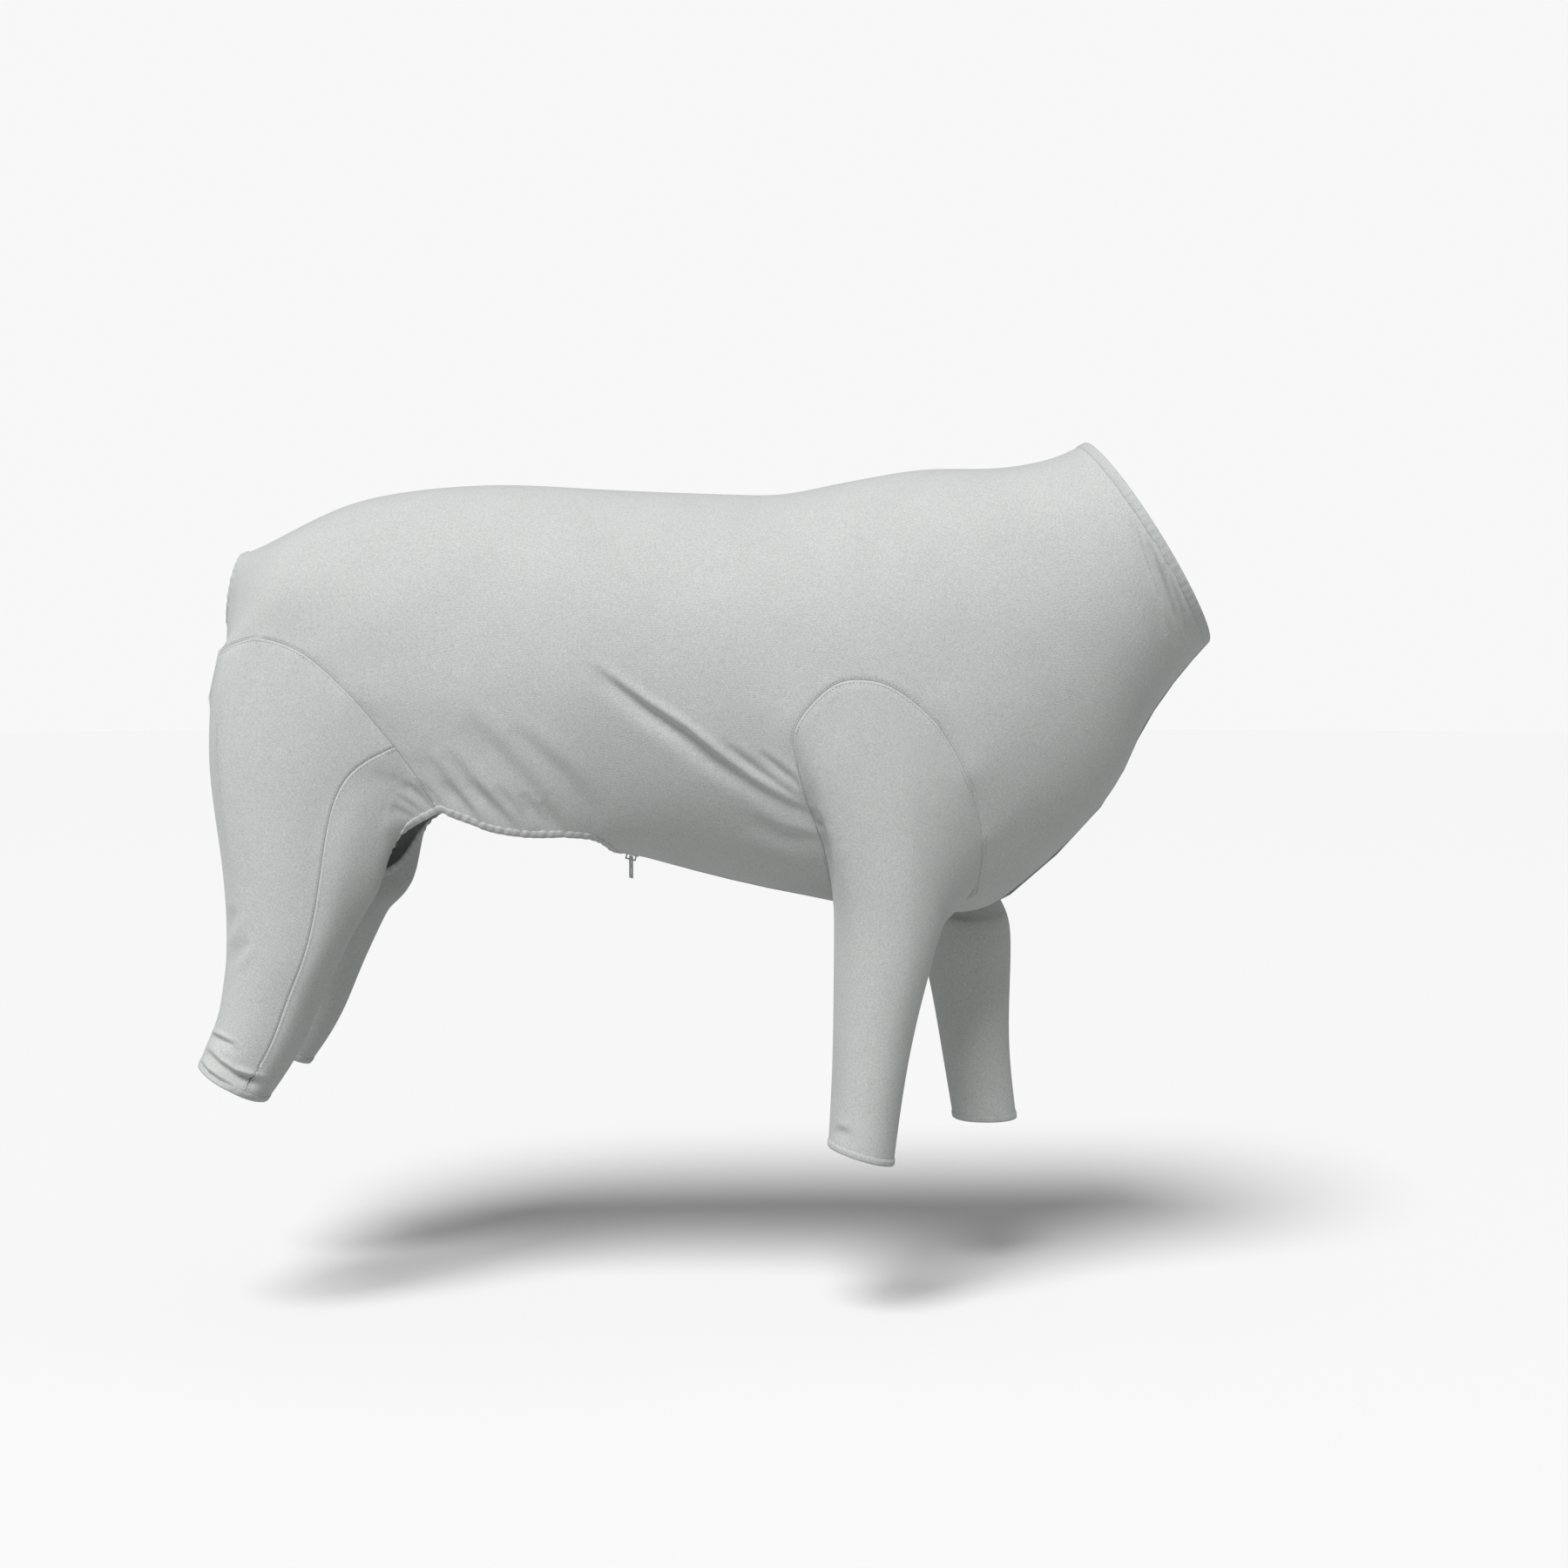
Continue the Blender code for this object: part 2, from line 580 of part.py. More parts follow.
def swept(path, closed):
    """A closed solid from a list of section rings, joined end to start or capped."""
    bm = bmesh.new()
    rings = [[bm.verts.new(p) for p in ring] for ring in path]
    pairs = list(zip(rings, rings[1:])) + ([(rings[-1], rings[0])] if closed else [])
    for near, far in pairs:
        for k in range(len(near)):
            following = (k + 1) % len(near)
            bm.faces.new((near[k], near[following], far[following], far[k]))
    if not closed:
        bm.faces.new(rings[0])
        bm.faces.new(reversed(rings[-1]))
    bmesh.ops.recalc_face_normals(bm, faces=bm.faces)
    return bm


def band_rings(ring, width):
    """Oblong sections of a binding that fills the width that the cloth is drawn back by, less the gap."""
    rings = []
    for place, normal, move in ring:
        inward = move * width
        outer = place + normal * (BAND_THICKNESS - WALL) / 2
        inner = outer - normal * BAND_THICKNESS
        rings.append([outer, outer + inward, inner + inward, inner])
    return rings


def opened(rings, clear):
    """A closed band's sections from one side of the zip round to the other."""
    low = [n for n, ring in enumerate(rings) if abs(ring[0].y) < clear / 4 and ring[0].z < -CHEST_DEPTH / 5]
    start = max(low, key=lambda n: rings[n][0].x)
    turned = rings[start:] + rings[:start + 1]
    for end, beside in ((0, 1), (-1, -2)):
        share = clear / abs(turned[beside][0].y)
        turned[end] = [a.lerp(b, share) for a, b in zip(turned[end], turned[beside])]
    return turned


def add_bands(bands):
    names = {
        "collar": ("collar_band", COLLAR_BAND),
        "tail": ("tail_binding", TAIL_BAND),
        "rim": ("cutout_rim", RIM_BAND),
    }
    for kind in ("front", "hind"):
        for side in ("right", "left"):
            names[f"{kind}_cuff_{side}"] = (f"{kind}_hem_{side}", CUFF_HEM)
    for loop, (name, width) in names.items():
        rings = band_rings(bands[loop], width)
        split = loop in ("collar", "rim")
        node(name, swept(opened(rings, ZIP_HALF) if split else rings, not split), TRIM_COLOUR)


def zip_strip(name, line, across, below, width, height, colour, roughness):
    """A flat strip along the zip: across and below place its middle beside and under the cloth's face."""
    rings = []
    for place, normal in line:
        centre = place + Vector((0, across, 0)) + normal * below
        side = Vector((0, width / 2, 0))
        rise = normal * height / 2
        rings.append([centre + side + rise, centre - side + rise, centre - side - rise, centre + side - rise])
    return node(name, swept(rings, False), colour, roughness)


def box(centre, size, matrix=None):
    bm = bmesh.new()
    bmesh.ops.create_cube(bm, size=1)
    bmesh.ops.scale(bm, vec=size, verts=bm.verts)
    bmesh.ops.translate(bm, vec=centre, verts=bm.verts)
    if matrix:
        bmesh.ops.transform(bm, matrix=matrix, verts=bm.verts)
    return bm


def fused(name, pieces, colour, roughness, metallic, cuts=()):
    """One solid from boxes joined and cut with Booleans."""
    made = node(name, pieces[0], colour, roughness, metallic)
    steps = [("UNION", bm) for bm in pieces[1:]] + [("DIFFERENCE", bm) for bm in cuts]
    for n, (operation, bm) in enumerate(steps):
        mesh = bpy.data.meshes.new(name + "_tool")
        bm.to_mesh(mesh)
        bm.free()
        tool = bpy.data.objects.new(f"{name}_tool_{n}", mesh)
        guides.objects.link(tool)
        tool.hide_render = True
        tool.display_type = "WIRE"
        step = made.modifiers.new(f"step_{n}", "BOOLEAN")
        step.operation = operation
        step.object = tool
    return made


def add_slider(seat, down):
    """The slider and its hanging pull, in a frame at seat whose -Z is down and away from the cloth."""
    frame = Matrix.Translation(seat) @ Vector((0, 0, -1)).rotation_difference(down).to_matrix().to_4x4()
    inside = COIL_HEIGHT / 2 + GAP
    plate_size = (SLIDER_LENGTH, SLIDER_WIDTH, PLATE)
    plates = [box((0, 0, z * (inside + PLATE / 2)), plate_size, frame) for z in (-1, 1)]
    post_size = (SLIDER_LENGTH * POST[0], SLIDER_WIDTH * POST[1], 2 * inside + PLATE)
    post = box((SLIDER_LENGTH * POST_PLACE, 0, 0), post_size, frame)
    under = inside + PLATE
    head_room = PULL_THICKNESS + 2 * PULL_PLAY
    foot_place = (CROWN_OPENING + CROWN_BAR) / 2
    foot_size = (CROWN_BAR, CROWN_BAR, head_room + CROWN_BAR)
    feet = [box((x * foot_place, 0, -under - head_room / 2), foot_size, frame) for x in (-1, 1)]
    bar_size = (CROWN_OPENING + 2 * CROWN_BAR, CROWN_BAR, CROWN_BAR)
    bar = box((0, 0, -under - head_room - CROWN_BAR / 2), bar_size, frame)
    fused("zip_slider", [*plates, post, *feet, bar], METAL_COLOUR, METAL_ROUGHNESS, METALLIC)
    pivot = frame @ Vector((0, 0, -under - head_room / 2))
    turn = Matrix.Translation(pivot) @ Matrix.Rotation(PULL_YAW, 4, "Z")
    plate = box((0, 0, PULL_THICKNESS / 2 - PULL_LENGTH / 2), (PULL_THICKNESS, PULL_WIDTH, PULL_LENGTH), turn)
    clear = PULL_WIDTH - 2 * PULL_RAIL
    windows = [
        box((0, 0, -PULL_THICKNESS / 2 - PULL_EYE / 2), (PULL_WIDTH, clear, PULL_EYE), turn),
        box((0, 0, -PULL_LENGTH * PULL_SLOT[1]), (PULL_WIDTH, clear, PULL_LENGTH * PULL_SLOT[0]), turn),
    ]
    fused("zip_pull", [plate], METAL_COLOUR, METAL_ROUGHNESS, METALLIC, windows)


def main():
    cage = cloth_cage()
    bm = smooth_cloth(cage)
    for v in bm.verts:
        v.co -= v.normal * fold_depth(v.co)
    bm.normal_update()
    draw, bands, zip_line = edge_kinds(bm, cage)
    line = [(v.co.copy(), v.normal.copy()) for v in zip_line]
    for side, hand in (("right", -1), ("left", 1)):
        across = hand * (COIL_WIDTH / 2 + GAP + TAPE_WIDTH / 2)
        sizes = (TAPE_WIDTH, TAPE_THICKNESS)
        zip_strip("zip_tape_" + side, line, across, -WALL / 2, *sizes, TRIM_COLOUR, CLOTH_ROUGHNESS)
    zip_strip("zip_coil", line[:-1], 0, -WALL / 2, COIL_WIDTH, COIL_HEIGHT, TRIM_COLOUR, COIL_ROUGHNESS)
    end, down = line[-1]
    add_slider(end.lerp(line[-2][0], SLIDER_SEAT) - down * WALL / 2, down)
    facing = part_seams(bm, draw)
    add_bands(bands)
    for number, name in enumerate(PANELS):
        node(name, panel_shell(bm, facing, number), CLOTH_COLOUR)
    bm.free()


for old in list(bpy.data.objects):
    bpy.data.objects.remove(old, do_unlink=True)
parts = bpy.data.collections.new("dog_jumpsuit")
guides = bpy.data.collections.new("guides")
bpy.context.scene.collection.children.link(parts)
bpy.context.scene.collection.children.link(guides)
main()
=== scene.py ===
import math

import bmesh
import bpy
import numpy as np
from mathutils import Matrix, Vector


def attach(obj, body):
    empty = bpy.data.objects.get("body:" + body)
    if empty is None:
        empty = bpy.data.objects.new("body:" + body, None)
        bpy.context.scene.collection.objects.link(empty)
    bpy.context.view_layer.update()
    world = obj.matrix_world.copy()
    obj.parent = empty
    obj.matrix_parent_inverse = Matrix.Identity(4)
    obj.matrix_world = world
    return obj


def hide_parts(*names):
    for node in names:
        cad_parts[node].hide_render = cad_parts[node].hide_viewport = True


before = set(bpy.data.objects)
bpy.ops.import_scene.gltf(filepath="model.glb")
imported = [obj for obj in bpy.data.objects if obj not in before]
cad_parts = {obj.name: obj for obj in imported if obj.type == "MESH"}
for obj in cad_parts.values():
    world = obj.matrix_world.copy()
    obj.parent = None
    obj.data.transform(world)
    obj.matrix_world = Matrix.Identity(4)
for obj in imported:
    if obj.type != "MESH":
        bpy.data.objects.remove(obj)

bl_info = {
    "name": "Dog Jumpsuit",
    "version": (1, 0, 0),
    "blender": (4, 5, 0),
    "location": "View3D > Sidebar > Jumpsuit",
    "description": "A knit jumpsuit for a dog, with its seams, bindings, zip and folds",
    "category": "Add Mesh",
}

MM = 0.001

# Sizes of the body
BACK_LENGTH = 641 * MM  # along X, from the tail opening to the top of the collar
CHEST_DEPTH = 321 * MM  # from the back to the lowest point of the chest
CHEST_WIDTH = 238 * MM
COLLAR_LENGTH = 178 * MM  # from the top of the collar to its front, along its slant
COLLAR_WIDTH = 168 * MM
COLLAR_SLANT = math.radians(-58)
COLLAR_TOP = (0.461, 0.123)  # shares of BACK_LENGTH and CHEST_DEPTH
TAIL_OPENING = 54 * MM
TAIL_SLANT = math.radians(-101)
TAIL_TOP = (-0.539, -0.138)  # shares of BACK_LENGTH and CHEST_DEPTH
WALL = 1.2 * MM

# Sizes of the sleeves
FRONT_SLEEVE_LENGTH = 353 * MM  # from the middle of the shoulder seam to the cuff
FRONT_SLEEVE_WIDTH = 75 * MM
FRONT_CUFF = 50.6 * MM
FRONT_SPREAD = 0.63 * CHEST_WIDTH  # between the middles of the front sleeves
FRONT_TOP = (0.0, -0.430)  # where its length is counted from, as shares of BACK_LENGTH and CHEST_DEPTH
STRIDE = 104 * MM  # how far the left front cuff is ahead of the right one
HIND_SLEEVE_LENGTH = 328 * MM  # from the top of the hip seam to the cuff
HIND_SLEEVE_WIDTH = 88 * MM
HIND_CUFF = 56 * MM
HIND_SPREAD = 0.69 * CHEST_WIDTH
HIND_TOP = (-0.467, -0.335)
HIND_LEAN = 40 * MM  # how far the hind cuffs are behind the thighs

# The zip
GAP = 0.3 * MM
COIL_WIDTH = 5 * MM
TAPE_WIDTH = 8 * MM
ZIP_HALF = COIL_WIDTH / 2 + TAPE_WIDTH + 2 * GAP  # from the middle to the cloth beside the zip

COLUMNS = 16  # round the body, 0 on the back and 8 under the belly

# Sections of the body from the neck to the tail. top_x and low_x are shares of BACK_LENGTH, top_z and low_z
# of CHEST_DEPTH and width of CHEST_WIDTH; egg above 0 narrows the underside.
SECTION_COLUMNS = ("top_x", "top_z", "low_x", "low_z", "width", "egg")
SECTIONS = (
    (0.416, 0.084, 0.567, -0.444, 0.723, 0.03),
    (0.348, 0.063, 0.524, -0.581, 0.790, 0.06),
    (0.276, 0.061, 0.481, -0.739, 0.874, 0.08),
    (0.208, 0.042, 0.374, -0.948, 0.941, 0.08),
    (0.156, 0.022, 0.310, -0.990, 0.983, 0.06),
    (0.104, 0.003, 0.241, -0.996, 1.000, 0.05),
    (0.052, 0.001, 0.172, -0.967, 1.000, 0.05),
    (-0.010, 0.005, 0.085, -0.932, 0.992, 0.04),
    (-0.073, 0.010, -0.003, -0.890, 0.966, 0.02),
    (-0.140, 0.017, -0.091, -0.842, 0.924, 0.00),
    (-0.216, 0.024, -0.195, -0.923, 0.882, 0.00),
    (-0.291, 0.019, -0.302, -0.923, 0.857, 0.00),
    (-0.359, 0.003, -0.416, -0.913, 0.840, 0.00),
    (-0.416, -0.026, -0.489, -0.809, 0.815, 0.00),
    (-0.468, -0.074, -0.537, -0.606, 0.723, 0.00),
    (-0.512, -0.118, -0.553, -0.456, 0.471, 0.00),
)
COLLAR_STATION = 0
ARM_STATIONS = (4, 7)
CUTOUT_STATION = 10
HIP_STATIONS = (12, 15)
TAIL_STATION = 17
SIDE_COLUMN = 4
ARM_LOW_COLUMN = 7
RIM_COLUMN = 6
LOW_COLUMN = COLUMNS // 2

# Seams on the right side: the station and column of each point, its place as shares of BACK_LENGTH,
# CHEST_WIDTH / 2 and CHEST_DEPTH, the turn (degrees) at which its column goes down the sleeve, and how far
# the sleeve follows the body past the seam.
SEAM_COLUMNS = ("station", "column", "x", "side", "z", "turn", "follow")
SHOULDER_SEAM = (
    (4, 4, 0.275, 0.950, -0.525, 55, 0.7),
    (5, 4, 0.219, 0.983, -0.439, 78, 0.8),
    (6, 4, 0.161, 1.000, -0.437, 102, 0.8),
    (7, 4, 0.113, 1.000, -0.544, 128, 0.7),
    (7, 5, 0.125, 0.908, -0.686, 152, 0.5),
    (7, 6, 0.150, 0.723, -0.819, 178, 0.3),
    (7, 7, 0.163, 0.462, -0.942, 215, 0.1),
    (6, 7, 0.216, 0.370, -0.986, 250, 0.1),
    (5, 7, 0.277, 0.370, -0.982, 288, 0.1),
    (4, 7, 0.327, 0.437, -0.934, 325, 0.1),
    (4, 6, 0.334, 0.672, -0.806, 0, 0.3),
    (4, 5, 0.312, 0.874, -0.651, 28, 0.5),
)
HIP_SEAM = (
    (12, 6, -0.287, 0.706, -0.734, 40, 2.3),
    (12, 5, -0.338, 0.815, -0.586, 64, 1.0),
    (12, 4, -0.385, 0.857, -0.469, 88, 0.8),
    (13, 4, -0.440, 0.824, -0.371, 110, 0.8),
    (14, 4, -0.495, 0.756, -0.335, 131, 0.8),
    (15, 4, -0.542, 0.655, -0.369, 151, 0.7),
    (15, 5, -0.556, 0.605, -0.473, 170, 0.5),
    (15, 6, -0.548, 0.490, -0.580, 190, 0.5),
    (15, 7, -0.530, 0.290, -0.630, 212, 0.5),
)
# The cut-out's edge on the inner thigh, from the crotch forward.
THIGH_COLUMNS = ("x", "side", "z", "turn")
THIGH_EDGE = (
    (-0.502, 0.340, -0.790, 238),
    (-0.437, 0.390, -0.900, 274),
    (-0.374, 0.470, -0.890, 319),
    (-0.342, 0.620, -0.800, 0),
)
THIGH_FOLLOW = 0.5
FLANK_LIFT = math.radians(38)  # how far the front corner of the hip seam leads upward
# Other edge points of the cut-out that leave their section: its rounded front end and its rear end.
CUTOUT_ENDS = (
    (10, 6, -0.125, 0.560, -0.800),
    (10, 7, -0.099, 0.300, -0.835),
    (10, 8, -0.091, 0.000, -0.842),
    (11, 6, -0.205, 0.660, -0.790),
    (15, 8, -0.520, 0.000, -0.610),
)

# Rings of a sleeve, downwards: how far down as a share of its length, the middle's place forward, the width
# along X, the width across, the outward shift of the middle and how far the ring tips forward (degrees).
RING_COLUMNS = ("down", "forward", "width", "across", "out", "tip")
FRONT_RINGS = (
    (0.570, 0.220, 1.000, 0.930, 0.000, 0),
    (0.705, 0.210, 0.840, 0.830, 0.000, 0),
    (0.849, 0.201, 0.720, 0.740, 0.000, 6),
    (1.000, 0.193, 1.000, 1.000, 0.000, 17),
)
FRONT_STRIDES = (0.66, 0.78, 0.88, 1.00)  # shares of STRIDE at those rings of the left sleeve
HIND_RINGS = (
    (0.693, 0.000, 1.000, 0.750, -0.02, 0),
    (0.788, -0.230, 0.845, 0.680, 0.000, 5),
    (0.870, -0.450, 0.750, 0.620, 0.020, 16),
    (0.937, -0.710, 0.700, 0.580, 0.030, 24),
    (1.000, -1.000, 1.000, 0.940, 0.040, 29),
)
BLEND_SHARES = (0.36, 0.69)  # the rows between a seam and the first whole ring
BLEND_PULL = 0.8  # how strongly those rows follow the sleeve's own run

HIND_SEAMS = (1, 10)  # the columns of a hind sleeve that its long seams follow
PANELS = (
    "body",
    "front_sleeve_right",
    "hind_sleeve_right_outer",
    "hind_sleeve_right_inner",
    "front_sleeve_left",
    "hind_sleeve_left_outer",
    "hind_sleeve_left_inner",
)
FLAT_BREAK = {"front": 8, "hind": HIND_SEAMS[0]}  # the sleeve column at which its knit starts and ends

# The picture's camera: 1800 across, at the height of the flank.
PICTURE = 1800
FOCUS = 2850  # its focal length in those pixels
CAMERA_PLACE = Vector((0.0667, -1.9, -0.1159))
CAMERA_PITCH = math.radians(-3.1)
FLOOR_HEIGHT = -0.619
LIGHT_RUN = Vector((0.20, 0.56, -0.80))  # the way the soft light shines

# Folds and gathers, by how deep (mm) and how wide (picture pixels) each valley is, how high its ridges stand
# on either side as shares of the depth, and the places it runs through in the picture.
FOLDS = (
    (4.6, 7, 0.5, 0.1, (684, 769), (695, 780), (737, 811), (783, 841), (821, 872), (859, 899), (897, 922),
     (932, 939)),
    (2.4, 7, 0.3, 0.5, (832, 856), (878, 891), (913, 918), (932, 933)),
    (2.1, 6, 0.2, 0.5, (871, 864), (909, 895), (926, 920)),
    (2.1, 7, 0.2, 0.5, (862, 938), (897, 956), (943, 966)),
    (2.9, 15, 0.3, 0.6, (534, 826), (572, 868), (607, 906), (632, 938), (644, 958)),
    (2.1, 14, 0.3, 0.5, (584, 836), (645, 891), (680, 934)),
    (1.6, 6, 0.3, 0.6, (465, 898), (482, 915), (508, 944)),
    (1.6, 6, 0.3, 0.6, (482, 896), (506, 926), (514, 944)),
    (1.9, 6, 0.3, 0.6, (508, 896), (541, 932), (552, 952)),
    (1.9, 7, 0.3, 0.6, (536, 896), (567, 926), (594, 952)),
    (1.8, 6, 0.3, 0.6, (570, 903), (600, 941), (608, 958)),
    (1.6, 6, 0.3, 0.6, (598, 911), (622, 944), (628, 960)),
    (1.4, 6, 0.3, 0.6, (622, 920), (640, 947), (650, 962)),
    (1.6, 6, 0.3, 0.6, (455, 914), (487, 937)),
    (1.4, 6, 0.3, 0.6, (448, 926), (476, 941)),
    (1.9, 8, 0.3, 0.5, (487, 868), (534, 922), (550, 946)),
    (1.9, 8, 0.3, 0.5, (510, 862), (565, 925), (592, 956)),
    (2.0, 4, 0.5, 0.3, (1300, 598), (1313, 640), (1329, 684), (1338, 724)),
    (2.6, 4, 0.6, 0.3, (1318, 622), (1335, 668), (1349, 708), (1355, 738)),
    (2.0, 4, 0.6, 0.3, (1336, 650), (1352, 694), (1364, 730)),
    (1.9, 8, 0.4, 0.4, (270, 1044), (255, 1084)),
    (1.4, 7, 0.4, 0.4, (285, 1080), (263, 1110)),
    (2.0, 4, 0.6, 0.4, (238, 1186), (268, 1201)),
    (2.6, 4, 0.6, 0.5, (236, 1205), (251, 1221), (266, 1231), (277, 1236), (303, 1248)),
    (2.4, 4, 0.6, 0.5, (228, 1218), (238, 1231), (251, 1240), (265, 1248)),
    (2.0, 4, 0.6, 0.5, (268, 1233), (308, 1242)),
    (1.3, 6, 0.4, 0.5, (957, 1296), (977, 1304)),
)

FOLD_SIDES = (1.7, 0.75)  # shares of its width that a valley takes on its low and its high side
FOLD_FACING = (0.15, 0.3)  # how squarely the cloth faces the side where folds begin, and their way in
RIDGE_PLACE = 1.9  # from a valley's line, as a share of its width
RIDGE_WIDTH = 1.1
FOLD_LEAST = 0.06 * MM  # the least press that gets finer faces
FOLD_CUTS = 3

FINENESS = 3  # how many times the cage is halved
CAGE_PASSES = 12  # how many times the cage is corrected to its limit
SEAM_TURN = 0.9 * MM  # the width of cloth that turns under at a seam
SEAM_DROP = 0.4 * MM
SEAM_EASE = (0.5, -0.52) * 120  # the steps that smooth the seams' lines and keep their size
BESIDE_EASE = 80
BAND_EXTRA = 1.4 * MM  # how much thicker a binding is than the cloth
BAND_STEP = 1.5 * MM
BAND_SIDES = 12
BAND_ROUND = (0.45, 0.75)  # the powers that square its section across and upward
OVERHANG = 0.6 * MM  # how far a binding stands past the cloth's edge
GATHER_PITCH = 6.5 * MM
STITCH_ROW = 1.9 * MM  # from a seam to the stitches beside it
THREAD = 0.3 * MM
TOOTH_PITCH = 1.5 * MM
CORE_STEP = 4 * MM
CORE_SHARE = 0.54  # half of the woven strip's width as a share of COIL_WIDTH
CORE_RISE = 0.35 * MM
FLOOR_RADIUS = 14
LIGHT_ANGLE = math.radians(26)
ROOM_GLOW = 1.17  # how bright the room behind looks to the camera
WORN = {}


def rows(names, table):
    return [dict(zip(names, row)) for row in table]


def section_point(section, turn, side):
    """A point of a body section: turn is 0 on the back and 1 under the belly, side -1 on the right."""
    down = (1 - math.cos(math.pi * turn)) / 2
    across = math.sin(math.pi * turn) * (1 + section["egg"] * math.cos(math.pi * turn))
    return Vector((
        BACK_LENGTH * (section["top_x"] + (section["low_x"] - section["top_x"]) * down),
        side * CHEST_WIDTH / 2 * section["width"] * across,
        CHEST_DEPTH * (section["top_z"] + (section["low_z"] - section["top_z"]) * down) + WALL,
    ))


def share_point(x, side, z, hand):
    return Vector((BACK_LENGTH * x, hand * CHEST_WIDTH / 2 * side, CHEST_DEPTH * z + WALL))


def round_opening(top, slant, length, width, turn, side):
    """A point of a flat oval opening that starts at top and runs length along its slant."""
    down = (1 - math.cos(math.pi * turn)) / 2
    run = Vector((math.cos(slant), 0, math.sin(slant)))
    return top + run * length * down + Vector((0, side * width / 2 * math.sin(math.pi * turn), 0))


def body_grid():
    """Where the limit surface of the body passes, keyed by station and column."""
    collar_top = share_point(COLLAR_TOP[0], 0, COLLAR_TOP[1], 1)
    tail_top = share_point(TAIL_TOP[0], 0, TAIL_TOP[1], 1)
    stations = [None, *rows(SECTION_COLUMNS, SECTIONS), None]
    grid = {}
    for i, section in enumerate(stations):
        for j in range(COLUMNS):
            side = -1 if j <= LOW_COLUMN else 1
            turn = min(j, COLUMNS - j) / LOW_COLUMN
            if i == COLLAR_STATION:
                grid[i, j] = round_opening(collar_top, COLLAR_SLANT, COLLAR_LENGTH, COLLAR_WIDTH, turn, side)
            elif i == TAIL_STATION:
                grid[i, j] = round_opening(tail_top, TAIL_SLANT, TAIL_OPENING, TAIL_OPENING, turn, side)
            else:
                grid[i, j] = section_point(section, turn, side)
    placed = [row[:5] for row in SHOULDER_SEAM + HIP_SEAM]
    for i, j, x, side, z in (*placed, *CUTOUT_ENDS):
        grid[i, j] = share_point(x, side, z, -1)
        grid[i, (COLUMNS - j) % COLUMNS] = share_point(x, side, z, 1)
    return grid


def is_cut(i, j):
    """Whether the cell past station i and column j is left open for a sleeve or the belly."""
    arm = ARM_STATIONS[0] <= i < ARM_STATIONS[1] and SIDE_COLUMN <= min(j, COLUMNS - 1 - j) < ARM_LOW_COLUMN
    hip = HIP_STATIONS[0] <= i < HIP_STATIONS[1] and SIDE_COLUMN <= min(j, COLUMNS - 1 - j)
    belly = CUTOUT_STATION <= i < HIP_STATIONS[0] and RIM_COLUMN <= min(j, COLUMNS - 1 - j)
    return arm or hip or belly


def sleeve_rings(kind, hand):
    """The middle, half-widths and forward direction of each whole ring of a sleeve."""
    rings = []
    if kind == "front":
        table, length, spread, (start, top) = FRONT_RINGS, FRONT_SLEEVE_LENGTH, FRONT_SPREAD, FRONT_TOP
        width, cuff, lean = FRONT_SLEEVE_WIDTH, FRONT_CUFF, BACK_LENGTH
    else:
        table, length, spread, (start, top) = HIND_RINGS, HIND_SLEEVE_LENGTH, HIND_SPREAD, HIND_TOP
        width, cuff, lean = HIND_SLEEVE_WIDTH, HIND_CUFF, HIND_LEAN
    for n, ring in enumerate(rows(RING_COLUMNS, table)):
        size = cuff if n == len(table) - 1 else width
        stride = STRIDE * FRONT_STRIDES[n] if kind == "front" and hand > 0 else 0
        tip = math.radians(ring["tip"]) * (1 if hand < 0 or kind == "hind" else 0)
        middle = Vector((
            BACK_LENGTH * start + lean * ring["forward"] + stride,
            hand * (spread / 2 + width * ring["out"]),
            CHEST_DEPTH * top + WALL - length * ring["down"],
        ))
        rings.append((middle, size * ring["width"] / 2, size * ring["across"] / 2, tip))
    return rings


def ring_point(ring, turn, hand):
    middle, along, across, tip = ring
    forward = Vector((math.cos(tip), 0, -math.sin(tip)))
    return middle + forward * along * math.cos(turn) + Vector((0, hand * across * math.sin(turn), 0))


def blend(start, start_run, end, end_run, share):
    """A point of the cubic that leaves start along start_run and reaches end along end_run."""
    a, b = share * share * (3 - 2 * share), share * (1 - share)
    return start.lerp(end, a) + start_run * b * (1 - share) - end_run * b * share


def length_setting(name, description, default, low, high):
    """A property that is given here in millimetres."""
    return bpy.props.FloatProperty(
        name=name, description=description, default=default * MM, min=low * MM, max=high * MM,
        unit="LENGTH", subtype="DISTANCE")


def number_setting(name, description, default, low, high):
    return bpy.props.FloatProperty(name=name, description=description, default=default, min=low, max=high)


def colour_setting(name, description, default):
    return bpy.props.FloatVectorProperty(
        name=name, description=description, subtype="COLOR", size=3, min=0, max=1, default=default)


class JumpsuitKnit(bpy.types.PropertyGroup):
    """The cloth, its colours and its knit."""

    colour: colour_setting("Cloth colour", "Colour of the knit", (0.495, 0.512, 0.500))
    trim_colour: colour_setting("Trim colour", "Colour of the bindings and hems", (0.470, 0.488, 0.476))
    wall: length_setting("Wall", "Thickness of the cloth", 1.2, 0.4, 3)
    wale: length_setting("Wale", "Width of one column of loops", 1.0, 0.4, 4)
    fold_share: number_setting("Fold depth", "Share of the folds' full depth", 1, 0, 2)
    stretch: number_setting("Stretch", "Worn size of the cloth over its cut size", 1.08, 1, 1.5)


